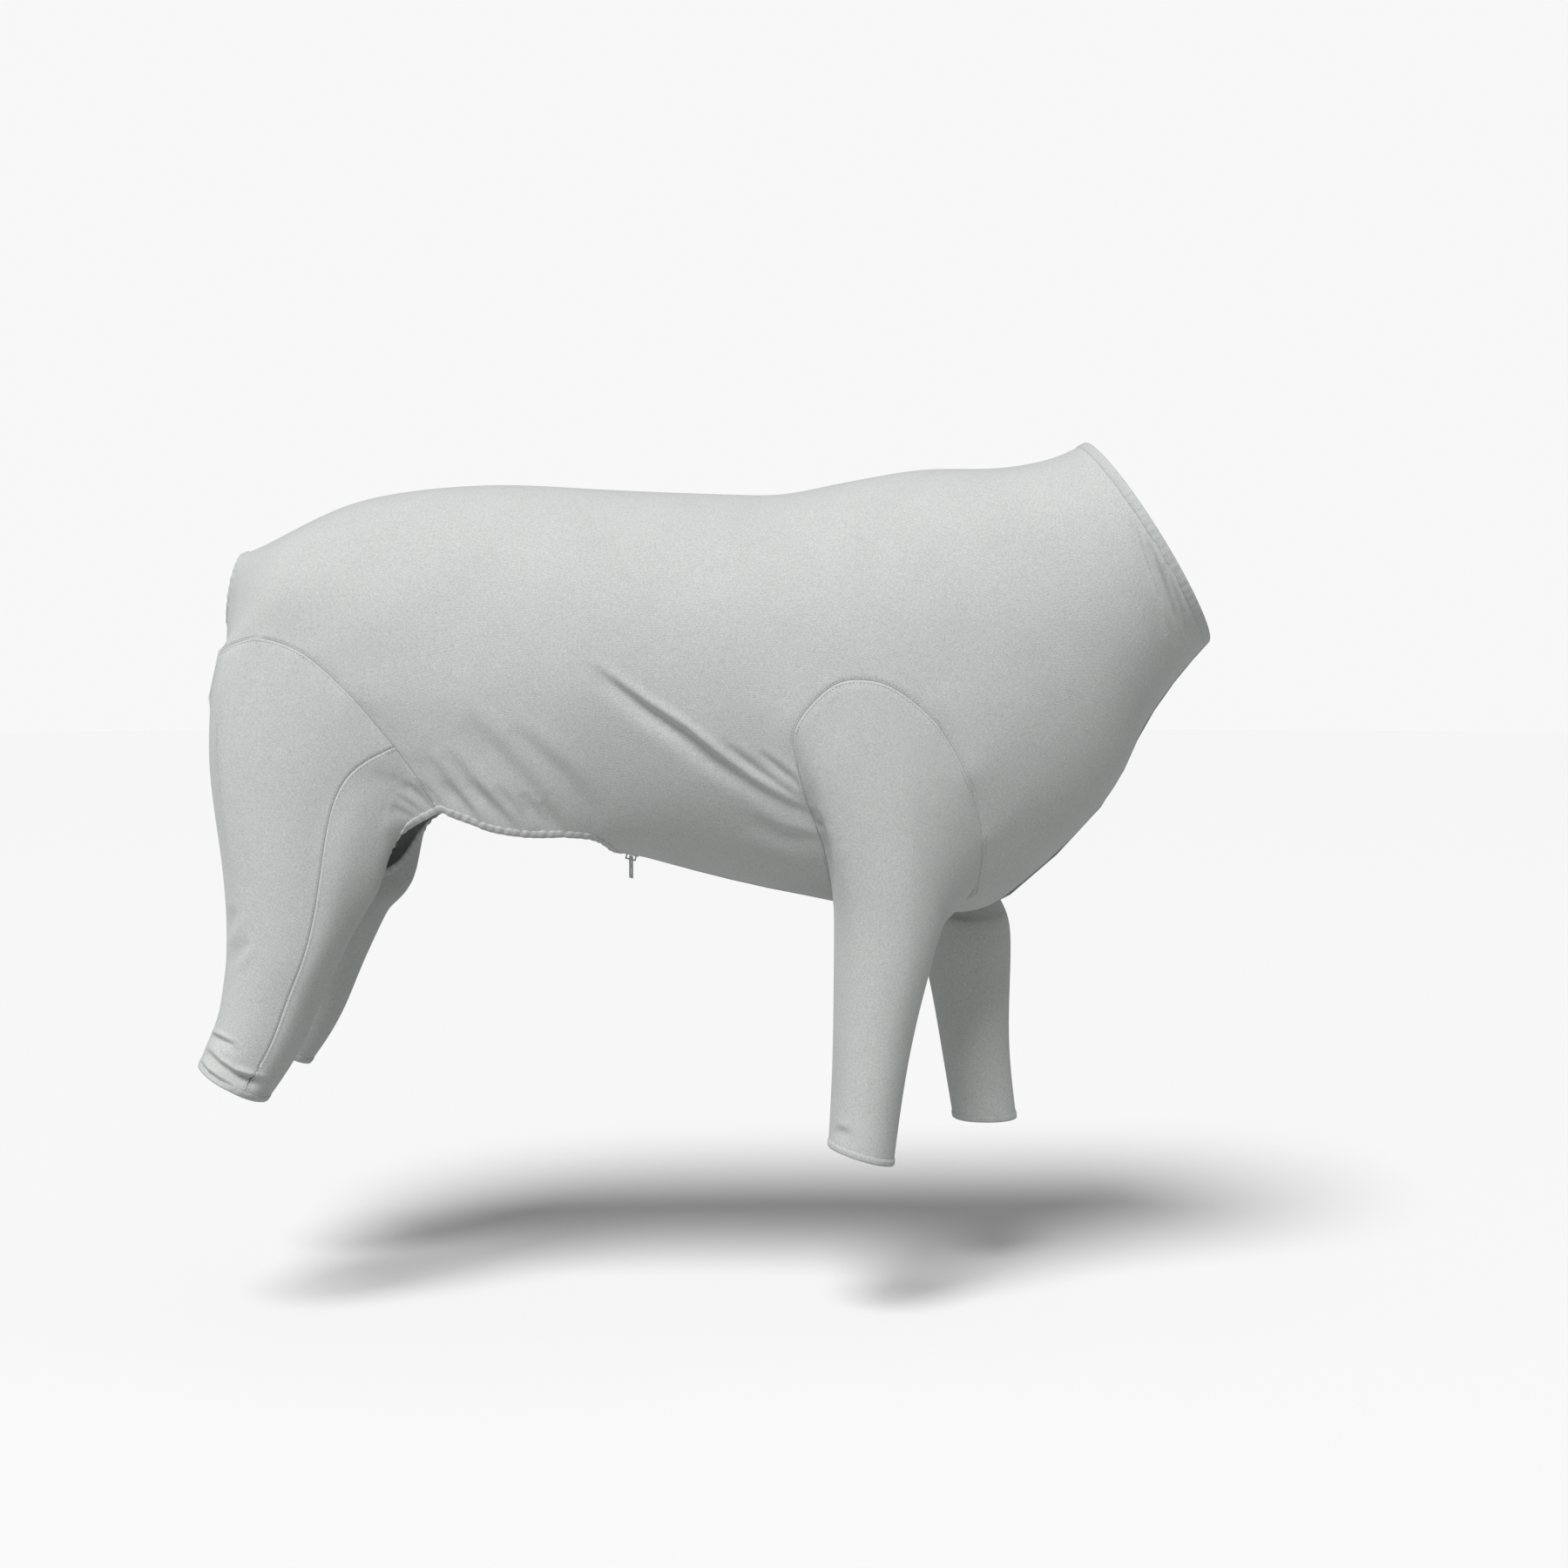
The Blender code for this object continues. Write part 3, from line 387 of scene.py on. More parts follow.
class JumpsuitTrim(bpy.types.PropertyGroup):
    """The bindings, the stitching and the zip."""

    collar_band: length_setting("Collar band", "Width of the neck binding", 8, 2, 30)
    rim_band: length_setting("Rim band", "Width of the gathered binding round the belly", 6, 2, 30)
    tail_band: length_setting("Tail band", "Width of the tail binding", 6, 2, 30)
    cuff_band: length_setting("Cuff hem", "Width of the hems at the cuffs", 5.5, 2, 30)
    stitch: length_setting("Stitch", "Length of one stitch", 2.6, 1, 8)
    metal_colour: colour_setting("Zip metal", "Colour of the slider and the pull", (0.46, 0.47, 0.47))


class JumpsuitStage(bpy.types.PropertyGroup):
    """The floor and the light."""

    floor_colour: colour_setting("Floor colour", "Colour of the pale floor", (0.80, 0.80, 0.80))
    bounce: number_setting("Floor bounce", "Share of the light that the floor throws back up", 0.45, 0, 1)
    top_light: number_setting("Top light", "Strength of the large soft light above", 3.5, 0, 20)
    room_light: number_setting("Room light", "Strength of the even light of the room", 0.3, 0, 4)


class Cage:
    """Quads with the place that the finished cloth passes at each corner, its panel and its flat pattern."""

    def __init__(self):
        self.points = []
        self.quads = []
        self.panels = []
        self.flats = []
        self.loops = {}
        self.cuts = {}

    def point(self, place):
        self.points.append(place)
        return len(self.points) - 1

    def quad(self, corners, panel, flats):
        self.quads.append(corners)
        self.panels.append(PANELS.index(panel))
        self.flats.append(flats)


def run_lengths(points):
    """The length of a line of points at each of them."""
    total = [0.0]
    for a, b in zip(points, points[1:]):
        total.append(total[-1] + (b - a).length)
    return total


def add_body(cage):
    grid = body_grid()
    used = {}
    along = {j: run_lengths([grid[i, j] for i in range(TAIL_STATION + 1)]) for j in range(COLUMNS)}
    around = {}
    for i in range(TAIL_STATION + 1):
        half = run_lengths([grid[i, j] for j in range(LOW_COLUMN + 1)])
        for j in range(LOW_COLUMN + 1):
            around[i, j] = half[j]
            around[i, -j] = -half[j]
    for i in range(TAIL_STATION):
        for j in range(COLUMNS):
            if is_cut(i, j):
                continue
            keys = [(i, j), (i, (j + 1) % COLUMNS), (i + 1, (j + 1) % COLUMNS), (i + 1, j)]
            for key in keys:
                if key not in used:
                    used[key] = cage.point(grid[key])
            near = j if j < LOW_COLUMN else j - COLUMNS
            flats = [
                (around[s, near + c], along[(j + c) % COLUMNS][s])
                for s, c in ((i, 0), (i, 1), (i + 1, 1), (i + 1, 0))
            ]
            cage.quad([used[key] for key in keys], "body", flats)
    cage.cuts["body"] = 2 * max(around.values()), max(run[-1] for run in along.values())
    cage.loops["collar"] = [used[COLLAR_STATION, j] for j in range(COLUMNS)]
    cage.loops["tail"] = [used[TAIL_STATION, j] for j in range(COLUMNS)]
    cage.loops["zip"] = [used[i, LOW_COLUMN] for i in range(CUTOUT_STATION + 1)]
    return grid, used


def outer_neighbour(grid, station, column, stations, columns):
    """The body's own grid point next to a seam point, on the side away from the sleeve."""
    i = station + (column >= columns[0]) * ((station == stations[1]) - (station == stations[0]))
    j = column + (column == columns[1]) - (column == columns[0])
    return grid[i, j]


def seam_runs(grid, seam, stations, low, first_ring):
    """The turn and the outgoing run of the right sleeve's column at each point of its seam."""
    turns, runs = [], []
    for row in seam:
        own = grid[row["station"], row["column"]]
        away = own - outer_neighbour(grid, row["station"], row["column"], stations, (SIDE_COLUMN, low))
        if row["station"] == HIP_STATIONS[0] and row["column"] == RIM_COLUMN:
            away.rotate(Matrix.Rotation(FLANK_LIFT, 3, "Y"))
        turns.append(math.radians(row["turn"]))
        reach = (ring_point(first_ring, turns[-1], -1) - own).length
        runs.append(away.normalized() * reach * row["follow"])
    return turns, runs


def thigh_runs(grid, seam, first_ring):
    """The points of the cut-out's edge on the right thigh, with their turns and runs."""
    table = rows(THIGH_COLUMNS, THIGH_EDGE)
    edge = [share_point(r["x"], r["side"], r["z"], -1) for r in table]
    first, last = (grid[row["station"], row["column"]] for row in (seam[0], seam[-1]))
    ends = [last, *edge, first]
    turns, runs = [], []
    for n, row in enumerate(table):
        turns.append(math.radians(row["turn"]))
        reach = (ring_point(first_ring, turns[-1], -1) - edge[n]).length
        facing = Vector((math.cos(turns[-1]), -math.sin(turns[-1]), 0))
        runs.append(facing.cross(ends[n + 2] - ends[n]).normalized() * reach * THIGH_FOLLOW)
    return edge, turns, runs


def add_sleeve(cage, grid, used, kind, hand):
    """The rings of one sleeve, welded to the body along its seam."""
    side = "right" if hand < 0 else "left"
    seam = rows(SEAM_COLUMNS, SHOULDER_SEAM if kind == "front" else HIP_SEAM)
    stations = ARM_STATIONS if kind == "front" else HIP_STATIONS
    low = ARM_LOW_COLUMN if kind == "front" else LOW_COLUMN
    rings = sleeve_rings(kind, hand)
    turns, runs = seam_runs(grid, seam, stations, low, rings[0])
    columns = [row["column"] if hand < 0 else (COLUMNS - row["column"]) % COLUMNS for row in seam]
    starts = [used[row["station"], column] for row, column in zip(seam, columns)]
    if kind == "hind":
        edge, edge_turns, edge_runs = thigh_runs(grid, seam, rings[0])
        turns += edge_turns
        runs += edge_runs
        starts += [cage.point(Vector((p.x, p.y * -hand, p.z))) for p in edge]
        cage.loops["thigh_" + side] = starts[len(seam):]
    levels = [starts]
    for n in range(len(BLEND_SHARES) + len(rings)):
        here = []
        for k, turn in enumerate(turns):
            first = ring_point(rings[0], turn, hand)
            if n < len(BLEND_SHARES):
                start = cage.points[starts[k]]
                run = Vector((runs[k].x, runs[k].y * -hand, runs[k].z))
                down = (ring_point(rings[1], turn, hand) - first).normalized() * (first - start).length
                here.append(cage.point(blend(start, run, first, down * BLEND_PULL, BLEND_SHARES[n])))
            else:
                here.append(cage.point(ring_point(rings[n - len(BLEND_SHARES)], turn, hand)))
        levels.append(here)
    add_sleeve_quads(cage, levels, kind, hand)
    cage.loops[f"{kind}_cuff_{side}"] = levels[-1]


def add_sleeve_quads(cage, levels, kind, hand):
    count = len(levels[0])
    order = [(FLAT_BREAK[kind] + k) % count for k in range(count)]
    down = [run_lengths([cage.points[level[k]] for level in levels]) for k in range(count)]
    spans, lengths = {}, {}
    for n, (above, below) in enumerate(zip(levels, levels[1:])):
        across = [
            run_lengths([cage.points[level[k]] for k in order + order[:1]]) for level in (above, below)
        ]
        for step, k in enumerate(order):
            following = (k + 1) % count
            corners = [above[k], above[following], below[following], below[k]]
            flats = [
                (across[0][step], down[k][n]),
                (across[0][step + 1], down[following][n]),
                (across[1][step + 1], down[following][n + 1]),
                (across[1][step], down[k][n + 1]),
            ]
            panel = f"{kind}_sleeve_" + ("right" if hand < 0 else "left")
            if kind == "hind":
                panel += "_outer" if HIND_SEAMS[0] <= k < HIND_SEAMS[1] else "_inner"
            if hand > 0:
                corners, flats = corners[::-1], flats[::-1]
            cage.quad(corners, panel, flats)
            widths = spans.setdefault(panel, [0.0] * (len(levels) - 1))
            widths[n] += across[1][step + 1] - across[1][step]
            lengths[panel] = max(lengths.get(panel, 0.0), down[k][-1])
    for panel, widths in spans.items():
        cage.cuts[panel] = max(widths[len(BLEND_SHARES):]), lengths[panel]


def cloth_cage():
    cage = Cage()
    grid, used = add_body(cage)
    for kind in ("front", "hind"):
        for hand in (-1, 1):
            add_sleeve(cage, grid, used, kind, hand)
    flank = [(CUTOUT_STATION, n) for n in range(LOW_COLUMN - RIM_COLUMN + 1)]
    flank += [(i, flank[-1][1]) for i in range(CUTOUT_STATION + 1, HIP_STATIONS[0] + 1)]
    rim = [used[i, LOW_COLUMN - n] for i, n in flank]
    rim += cage.loops.pop("thigh_right")[::-1] + [used[HIP_STATIONS[1], LOW_COLUMN + n] for n in (-1, 0, 1)]
    rim += cage.loops.pop("thigh_left") + [used[i, LOW_COLUMN + n] for i, n in flank[:0:-1]]
    cage.loops["rim"] = rim
    return cage


def smooth_cloth(cage):
    """The cloth, subdivided from a cage that is moved until its limit passes through the cage's points."""
    wanted = np.array([tuple(p) for p in cage.points])
    mesh = bpy.data.meshes.new("cloth_cage")
    mesh.from_pydata(cage.points, [], cage.quads)
    mesh.polygons.foreach_set("material_index", cage.panels)
    flat = mesh.uv_layers.new(name="Knit")
    flat.data.foreach_set("uv", np.array(cage.flats, np.float32).ravel())
    made = new_piece("cloth_cage", mesh)
    subdivision = made.modifiers.new("Smooth", "SUBSURF")
    subdivision.levels = subdivision.render_levels = 1
    held = wanted.copy()
    for _ in range(CAGE_PASSES):
        mesh.vertices.foreach_set("co", held.ravel())
        mesh.update()
        made.update_tag()
        bpy.context.view_layer.update()
        found = made.evaluated_get(bpy.context.evaluated_depsgraph_get()).data
        reached = np.array([found.vertices[n].co for n in range(len(wanted))])
        held += wanted - reached
    subdivision.levels = subdivision.render_levels = FINENESS
    bpy.context.view_layer.update()
    bm = bmesh.new()
    bm.from_mesh(made.evaluated_get(bpy.context.evaluated_depsgraph_get()).data)
    bpy.data.objects.remove(made)
    bmesh.ops.recalc_face_normals(bm, faces=bm.faces)
    bm.normal_update()
    return bm


def seen(places):
    """Where points are in the picture, in its pixels."""
    off = places - np.array(CAMERA_PLACE)
    ahead = np.array((0, math.cos(CAMERA_PITCH), math.sin(CAMERA_PITCH)))
    above = np.array((0, -math.sin(CAMERA_PITCH), math.cos(CAMERA_PITCH)))
    depth = off @ ahead
    return np.stack((
        PICTURE / 2 + FOCUS * off[:, 0] / depth,
        PICTURE / 2 - FOCUS * (off @ above) / depth,
    ), axis=1)


def fold_press(places, normals):
    """How far the folds press each point in, along its normal. The left side has the same folds."""
    near = places.copy()
    near[:, 1] = -np.abs(near[:, 1])
    at = seen(near)
    facing = np.clip((normals[:, 1] * np.sign(places[:, 1]) - FOLD_FACING[0]) / FOLD_FACING[1], 0, 1)
    press = np.zeros(len(places))
    for depth, half, above, below, *line in FOLDS:
        line = np.array(line, float)
        runs = np.diff(line, axis=0)
        lengths = np.linalg.norm(runs, axis=1)
        before = np.concatenate(([0], np.cumsum(lengths)))
        best = np.full(len(places), 1e9)
        side = np.zeros(len(places))
        share = np.zeros(len(places))
        for start, run, length, so_far in zip(line, runs, lengths, before):
            off = at - start
            along = np.clip(off @ run / length ** 2, 0, 1)
            gap = np.linalg.norm(off - along[:, None] * run, axis=1)
            closer = gap < best
            best[closer] = gap[closer]
            side[closer] = (run[0] * off[:, 1] - run[1] * off[:, 0])[closer] / length
            share[closer] = ((so_far + along * length) / before[-1])[closer]
        off = np.where(side > 0, best / FOLD_SIDES[0], -best / FOLD_SIDES[1]) / half
        taper = np.sin(np.pi * np.clip(0.02 + 0.92 * share ** 0.8, 0, 1)) ** 0.9
        shape = np.exp(-off ** 2)
        for height, ridge in ((above, -RIDGE_PLACE), (below, RIDGE_PLACE)):
            shape -= height * np.exp(-((off - ridge) / RIDGE_WIDTH) ** 2)
        press += depth * MM * taper * shape
    return press * facing


def cloth_arrays(bm):
    places = np.array([tuple(v.co) for v in bm.verts])
    normals = np.array([tuple(v.normal) for v in bm.verts])
    return places, normals


def ease_seams(bm):
    """Smooths the seams' lines within the cloth, and moves the cloth beside them along with them."""
    bm.verts.index_update()
    bm.edges.index_update()
    places, normals = cloth_arrays(bm)
    held = np.array([v.is_boundary for v in bm.verts])
    move = np.zeros_like(places)
    for _, verts in seam_chains(bm):
        index = np.array([v.index for v in verts])
        line = places[index]
        closed = index[0] == index[-1]
        eased = line.copy()
        for share in SEAM_EASE:
            before, after = np.roll(eased[:-1], 1, axis=0), eased[1:]
            pull = (before + after) / 2 - eased[:-1]
            if not closed:
                pull[0] = 0
            eased[:-1] += share * pull
            if closed:
                eased[-1] = eased[0]
        shift = eased - line
        shift -= normals[index] * np.sum(shift * normals[index], axis=1, keepdims=True)
        move[index] = np.where(held[index, None], 0, shift)
        held[index] = True
    ends = np.array([(e.verts[0].index, e.verts[1].index) for e in bm.edges])
    count = np.bincount(ends.ravel(), minlength=len(places))[:, None]
    for _ in range(BESIDE_EASE):
        total = np.zeros_like(places)
        np.add.at(total, ends[:, 0], move[ends[:, 1]])
        np.add.at(total, ends[:, 1], move[ends[:, 0]])
        move = np.where(held[:, None], move, total / count)
    for v, shift in zip(bm.verts, move):
        v.co += Vector(shift)
    bm.normal_update()


def refine_folds(bm):
    """Adds faces where folds bend the cloth."""
    places, normals = cloth_arrays(bm)
    bent = np.abs(fold_press(places, normals)) > FOLD_LEAST
    bm.verts.index_update()
    faces = [f for f in bm.faces if any(bent[v.index] for v in f.verts)]
    edges = {e.index: e for f in faces for e in f.edges}
    bmesh.ops.subdivide_edges(
        bm, edges=[edges[n] for n in sorted(edges)], cuts=FOLD_CUTS, use_grid_fill=True)
    bm.normal_update()


def boundary_loops(bm, centres):
    """Each open edge of the cloth as an ordered ring of its points."""
    left = {e.index: e for e in bm.edges if e.is_boundary}
    loops = {}
    while left:
        edge = left.pop(min(left))
        ring = [edge.verts[0], edge.verts[1]]
        while True:
            step = next((e for e in ring[-1].link_edges if e.index in left), None)
            if step is None:
                break
            del left[step.index]
            ring.append(step.other_vert(ring[-1]))
        middle = sum((v.co for v in ring), Vector()) / len(ring)
        name = min(centres, key=lambda name: (centres[name] - middle).length)
        loops[name] = [edge_row(v) for v in ring[:-1]]
    return loops


def edge_row(v):
    """A point of an open edge: its place, its normal and the direction in the cloth away from the edge."""
    inward = Vector()
    for e in v.link_edges:
        if e.is_boundary:
            inward += inward_of(e.link_faces[0], e, v.normal)
    return v.co.copy(), v.normal.copy(), inward.normalized()


def inward_of(face, edge, normal):
    """The direction in the surface from an edge into its face."""
    along = edge.verts[1].co - edge.verts[0].co
    across = normal.cross(along).normalized()
    middle = (edge.verts[0].co + edge.verts[1].co) / 2
    return across if across.dot(face.calc_center_median() - middle) > 0 else -across


def zip_line(bm, cage):
    """The points of the cloth under the zip, from the collar to the cut-out, with their normals."""
    bm.verts.ensure_lookup_table()
    ends = cage.loops["zip"]
    line = [bm.verts[ends[0]]]
    ahead = Vector((-1, 0, -1))
    while line[-1].index != ends[-1]:
        here = line[-1]
        edges = [e for e in here.link_edges if not e.is_boundary]
        step = max(edges, key=lambda e: (e.other_vert(here).co - here.co).normalized().dot(ahead))
        line.append(step.other_vert(here))
        ahead = line[-1].co - here.co
    return [(v.co.copy(), v.normal.copy()) for v in line]


def open_zip(bm, line):
    """Cuts the cloth beside the zip and takes out what its tapes stand for."""
    low_end = min(place.x for place, _ in line)

    def under(face):
        """Whether a face of the body is beside the zip, between the collar and the cut-out."""
        middle = face.calc_center_median()
        return (
            face.material_index == 0 and face.normal.z < 0.3 and middle.x > low_end - 5 * MM
            and middle.z < -CHEST_DEPTH * 0.3 and abs(middle.y) < 3 * ZIP_HALF
        )

    for side in (-1, 1):
        faces = [f for f in bm.faces if under(f)]
        edges = {e.index: e for f in faces for e in f.edges}
        verts = {v.index: v for f in faces for v in f.verts}
        geometry = [*verts.values(), *edges.values(), *faces]
        bmesh.ops.bisect_plane(
            bm, geom=geometry, plane_co=(0, side * ZIP_HALF, 0), plane_no=(0, 1, 0), dist=0.01 * MM)
        bm.verts.index_update()
        bm.edges.index_update()
    gone = [f for f in bm.faces if under(f) and abs(f.calc_center_median().y) < ZIP_HALF]
    bmesh.ops.delete(bm, geom=gone, context="FACES")


def panel_sheet(bm, number, name, settings):
    """One panel of the cloth as a sheet with its wall, its edge turned under at the seams."""
    panel = bm.copy()
    bmesh.ops.delete(panel, geom=[f for f in panel.faces if f.material_index != number], context="FACES")
    layer = panel.verts.layers.float_vector["facing"]
    bmesh.ops.inset_region(
        panel, faces=panel.faces, thickness=SEAM_TURN, use_boundary=True, use_even_offset=True)
    for v in panel.verts:
        facing = Vector(v[layer])
        if facing.length < 0.5:
            facing = v.normal
        v[layer] = facing.normalized()
        if v.is_boundary:
            v.co -= v[layer] * SEAM_DROP
    outer = list(panel.verts)
    faces = list(panel.faces)
    flat = panel.loops.layers.uv["Knit"]
    inner = {v: panel.verts.new(v.co - Vector(v[layer]) * settings.wall) for v in outer}
    for face in faces:
        copy = panel.faces.new([inner[v] for v in reversed(face.verts)])
        for loop, other in zip(copy.loops, reversed(face.loops)):
            loop[flat].uv = other[flat].uv
    for face in faces:
        for loop in face.loops:
            if len(loop.edge.link_faces) == 1:
                a, b = loop.vert, loop.link_loop_next.vert
                rim = panel.faces.new((b, a, inner[a], inner[b]))
                for corner in rim.loops:
                    corner[flat].uv = loop[flat].uv
    for face in panel.faces:
        face.material_index = 0
        face.smooth = True
    mesh = bpy.data.meshes.new(name)
    panel.to_mesh(mesh)
    panel.free()
    return new_piece(name, mesh)


def flat_cut(bm, number, cut, stretch):
    """The width, length and area of a panel as it is cut, before it is stretched on."""
    area = sum(face.calc_area() for face in bm.faces if face.material_index == number) / stretch ** 2
    width, length = cut[0] / stretch, cut[1] / stretch
    return (width, length), min(area, width * length)


def edge_chains(edges):
    """The points along connected edges, as ordered lines. A closed line repeats its first point."""
    left = {e.index: e for e in edges}
    count = {}
    for e in edges:
        for v in e.verts:
            count[v.index] = count.get(v.index, 0) + 1
    chains = []
    while left:
        ends = [n for n in sorted(left) if any(count[v.index] != 2 for v in left[n].verts)]
        edge = left.pop(ends[0] if ends else min(left))
        verts = list(edge.verts)
        if count[verts[1].index] != 2 and count[verts[0].index] == 2:
            verts.reverse()
        while count[verts[-1].index] == 2:
            step = next((e for e in verts[-1].link_edges if e.index in left), None)
            if step is None:
                break
            del left[step.index]
            verts.append(step.other_vert(verts[-1]))
        chains.append(verts)
    return chains


def seam_chains(bm):
    """The two panels and the ordered points of each seam."""
    pairs = {}
    for e in bm.edges:
        panels = tuple(sorted({f.material_index for f in e.link_faces}))
        if len(panels) == 2:
            pairs.setdefault(panels, []).append(e)
    return [(panels, verts) for panels, edges in sorted(pairs.items()) for verts in edge_chains(edges)]


def seam_lines(bm):
    """Each seam as rows of place, normal and the directions into the panels on both of its sides."""
    lines = []
    for panels, verts in seam_chains(bm):
        line = []
        for v in verts:
            edges = [e for e in v.link_edges if {f.material_index for f in e.link_faces} == set(panels)]
            sides = []
            for panel in panels:
                inward = Vector()
                for e in edges:
                    face = next(f for f in e.link_faces if f.material_index == panel)
                    inward += inward_of(face, e, v.normal)
                sides.append(inward.normalized())
            line.append((v.co.copy(), v.normal.copy(), *sides))
        lines.append(line)
    return lines


def worn_cloth():
    """The shaped cloth with its open edges, its seams and its zip's line, made once."""
    if not WORN:
        settings = bpy.context.scene.jumpsuit_knit
        cage = cloth_cage()
        bm = smooth_cloth(cage)
        WORN["zip"] = zip_line(bm, cage)
        WORN["cuts"] = cage.cuts
        ease_seams(bm)
        centres = {
            name: sum((cage.points[n] for n in loop), Vector()) / len(loop)
            for name, loop in cage.loops.items() if name != "zip"
        }
        refine_folds(bm)
        places, normals = cloth_arrays(bm)
        press = fold_press(places, normals) * settings.fold_share
        for v, move in zip(bm.verts, press):
            v.co -= v.normal * float(move)
        bm.normal_update()
        bm.verts.index_update()
        bm.edges.index_update()
        WORN["edges"] = boundary_loops(bm, centres)
        WORN["seams"] = seam_lines(bm)
        open_zip(bm, WORN["zip"])
        bm.normal_update()
        facing = bm.verts.layers.float_vector.new("facing")
        for v in bm.verts:
            v[facing] = v.normal
        WORN["cloth"] = bm
    return WORN


def spaced(line, step, closed):
    """Rows of vectors along a line at even steps, on a smooth curve through them."""
    data = np.array([np.concatenate([tuple(v) for v in row]) for row in line])
    count = len(data)
    following = np.roll(data, -1, axis=0) if closed else data[1:]
    lengths = np.linalg.norm((following - data[:len(following)])[:, :3], axis=1)
    total = np.concatenate(([0], np.cumsum(lengths)))
    steps = max(2, round(total[-1] / step))
    at = np.linspace(0, total[-1], steps + 1)[:steps if closed else steps + 1]
    first = np.clip(np.searchsorted(total, at, side="right") - 1, 0, len(lengths) - 1)
    s = ((at - total[first]) / lengths[first])[:, None]
    pick = (lambda n: data[n % count]) if closed else (lambda n: data[np.clip(n, 0, count - 1)])
    a, b, c, d = pick(first - 1), pick(first), pick(first + 1), pick(first + 2)
    bend, turn = 2 * a - 5 * b + 4 * c - d, 3 * b - a - 3 * c + d
    made = (2 * b + (c - a) * s + bend * s ** 2 + turn * s ** 3) / 2
    return made.reshape(len(at), -1, 3), at


def unit(vectors):
    return vectors / np.linalg.norm(vectors, axis=-1, keepdims=True)


def new_piece(name, mesh):
    made = bpy.data.objects.new(name, mesh)
    bpy.context.scene.collection.objects.link(made)
    return made


def tube_mesh(name, rings, closed, flats):
    """A mesh from rings of points, joined end to start or capped."""
    count, sides = rings.shape[:2]
    index = np.arange(count * sides).reshape(count, sides)
    near = index if closed else index[:-1]
    far = np.roll(index, -1, axis=0) if closed else index[1:]
    faces = np.stack((near, np.roll(near, -1, axis=1), np.roll(far, -1, axis=1), far), axis=-1)
    faces = faces.reshape(-1, 4).tolist()
    if not closed:
        faces += [index[0][::-1].tolist(), index[-1].tolist()]
    mesh = bpy.data.meshes.new(name)
    mesh.from_pydata([tuple(p) for p in rings.reshape(-1, 3)], [], faces)
    flat = mesh.uv_layers.new(name="Knit")
    order = [loop.vertex_index for loop in mesh.loops]
    flat.data.foreach_set("uv", flats.reshape(-1, 2)[order].astype(np.float32).ravel())
    bm = bmesh.new()
    bm.from_mesh(mesh)
    bmesh.ops.recalc_face_normals(bm, faces=bm.faces)
    bm.to_mesh(mesh)
    bm.free()
    mesh.shade_smooth()
    return mesh


def band(name, edge, width, settings, gather=0.0, opening=False):
    """A folded binding round an open edge of the cloth, puckered where its elastic gathers it."""
    if opening:
        low = max(
            (n for n, row in enumerate(edge) if abs(row[0].y) < 1 * MM and row[0].z < -CHEST_DEPTH / 5),
            key=lambda n: edge[n][0].x)
        edge = edge[low:] + edge[:low]
    points, at = spaced(edge, BAND_STEP, True)
    if opening:
        clear = np.abs(points[:, 0, 1]) > ZIP_HALF
        ends = np.arange(len(points))
        keep = clear | ((ends > len(points) * 0.1) & (ends < len(points) * 0.9))
        points, at = points[keep], at[keep]
    place, normal, inward = points[:, 0], unit(points[:, 1]), unit(points[:, 2])
    turn = np.linspace(0, 2 * np.pi, BAND_SIDES, endpoint=False)
    across = np.sign(np.cos(turn)) * np.abs(np.cos(turn)) ** BAND_ROUND[0]
    rise = np.sign(np.sin(turn)) * np.abs(np.sin(turn)) ** BAND_ROUND[1]
    ripple = gather * (np.sin(at / GATHER_PITCH * 2 * np.pi) + 0.5 * np.sin(at / GATHER_PITCH * 3.7 + 1.3))
    reach = width / 2 * (1 + across[None, :]) - OVERHANG + 0.6 * ripple[:, None] * (across[None, :] > 0)
    lift = (settings.wall + BAND_EXTRA) / 2 * rise[None, :] - settings.wall / 2
    lift = lift + ripple[:, None] * np.clip(rise, 0, 1)[None, :]
    rings = place[:, None] + inward[:, None] * reach[..., None] + normal[:, None] * lift[..., None]
    girth = np.linspace(0, 2 * width, BAND_SIDES)
    flats = np.stack(np.broadcast_arrays(girth[None, :], at[:, None]), axis=-1)
    return new_piece(name, tube_mesh(name, rings, not opening, flats))


def four_sided(centre, wide, high):
    """A four-sided ring round each centre."""
    return np.stack((centre + wide, centre + high, centre - wide, centre - high), axis=1)


def stitch_bars(line, length):
    """Short threads along a line of places, normals and directions, as one set of bars."""
    points, _ = spaced(line, length, False)
    place, normal = points[:, 0], unit(points[:, 1])
    along = unit(np.gradient(place, axis=0))
    across = unit(np.cross(normal, along))
    rings = []
    for share, rise in ((-0.36, -0.5), (-0.2, 0.45), (0.2, 0.45), (0.36, -0.5)):
        centre = place + along * length * share + normal * THREAD * rise
        rings.append(four_sided(centre, across * THREAD / 2, normal * THREAD / 2))
    return np.stack(rings, axis=1)


def bars_mesh(name, bars):
    """One mesh from many four-ringed bars."""
    verts, faces = [], []
    for bar in bars:
        base = len(verts)
        verts += [tuple(p) for ring in bar for p in ring]
        for n in range(len(bar) - 1):
            for k in range(4):
                a, b = base + 4 * n + k, base + 4 * n + (k + 1) % 4
                faces.append((a, b, b + 4, a + 4))
        faces.append((base + 3, base + 2, base + 1, base))
        last = base + 4 * (len(bar) - 1)
        faces.append((last, last + 1, last + 2, last + 3))
    mesh = bpy.data.meshes.new(name)
    mesh.from_pydata(verts, [], faces)
    mesh.shade_smooth()
    return mesh


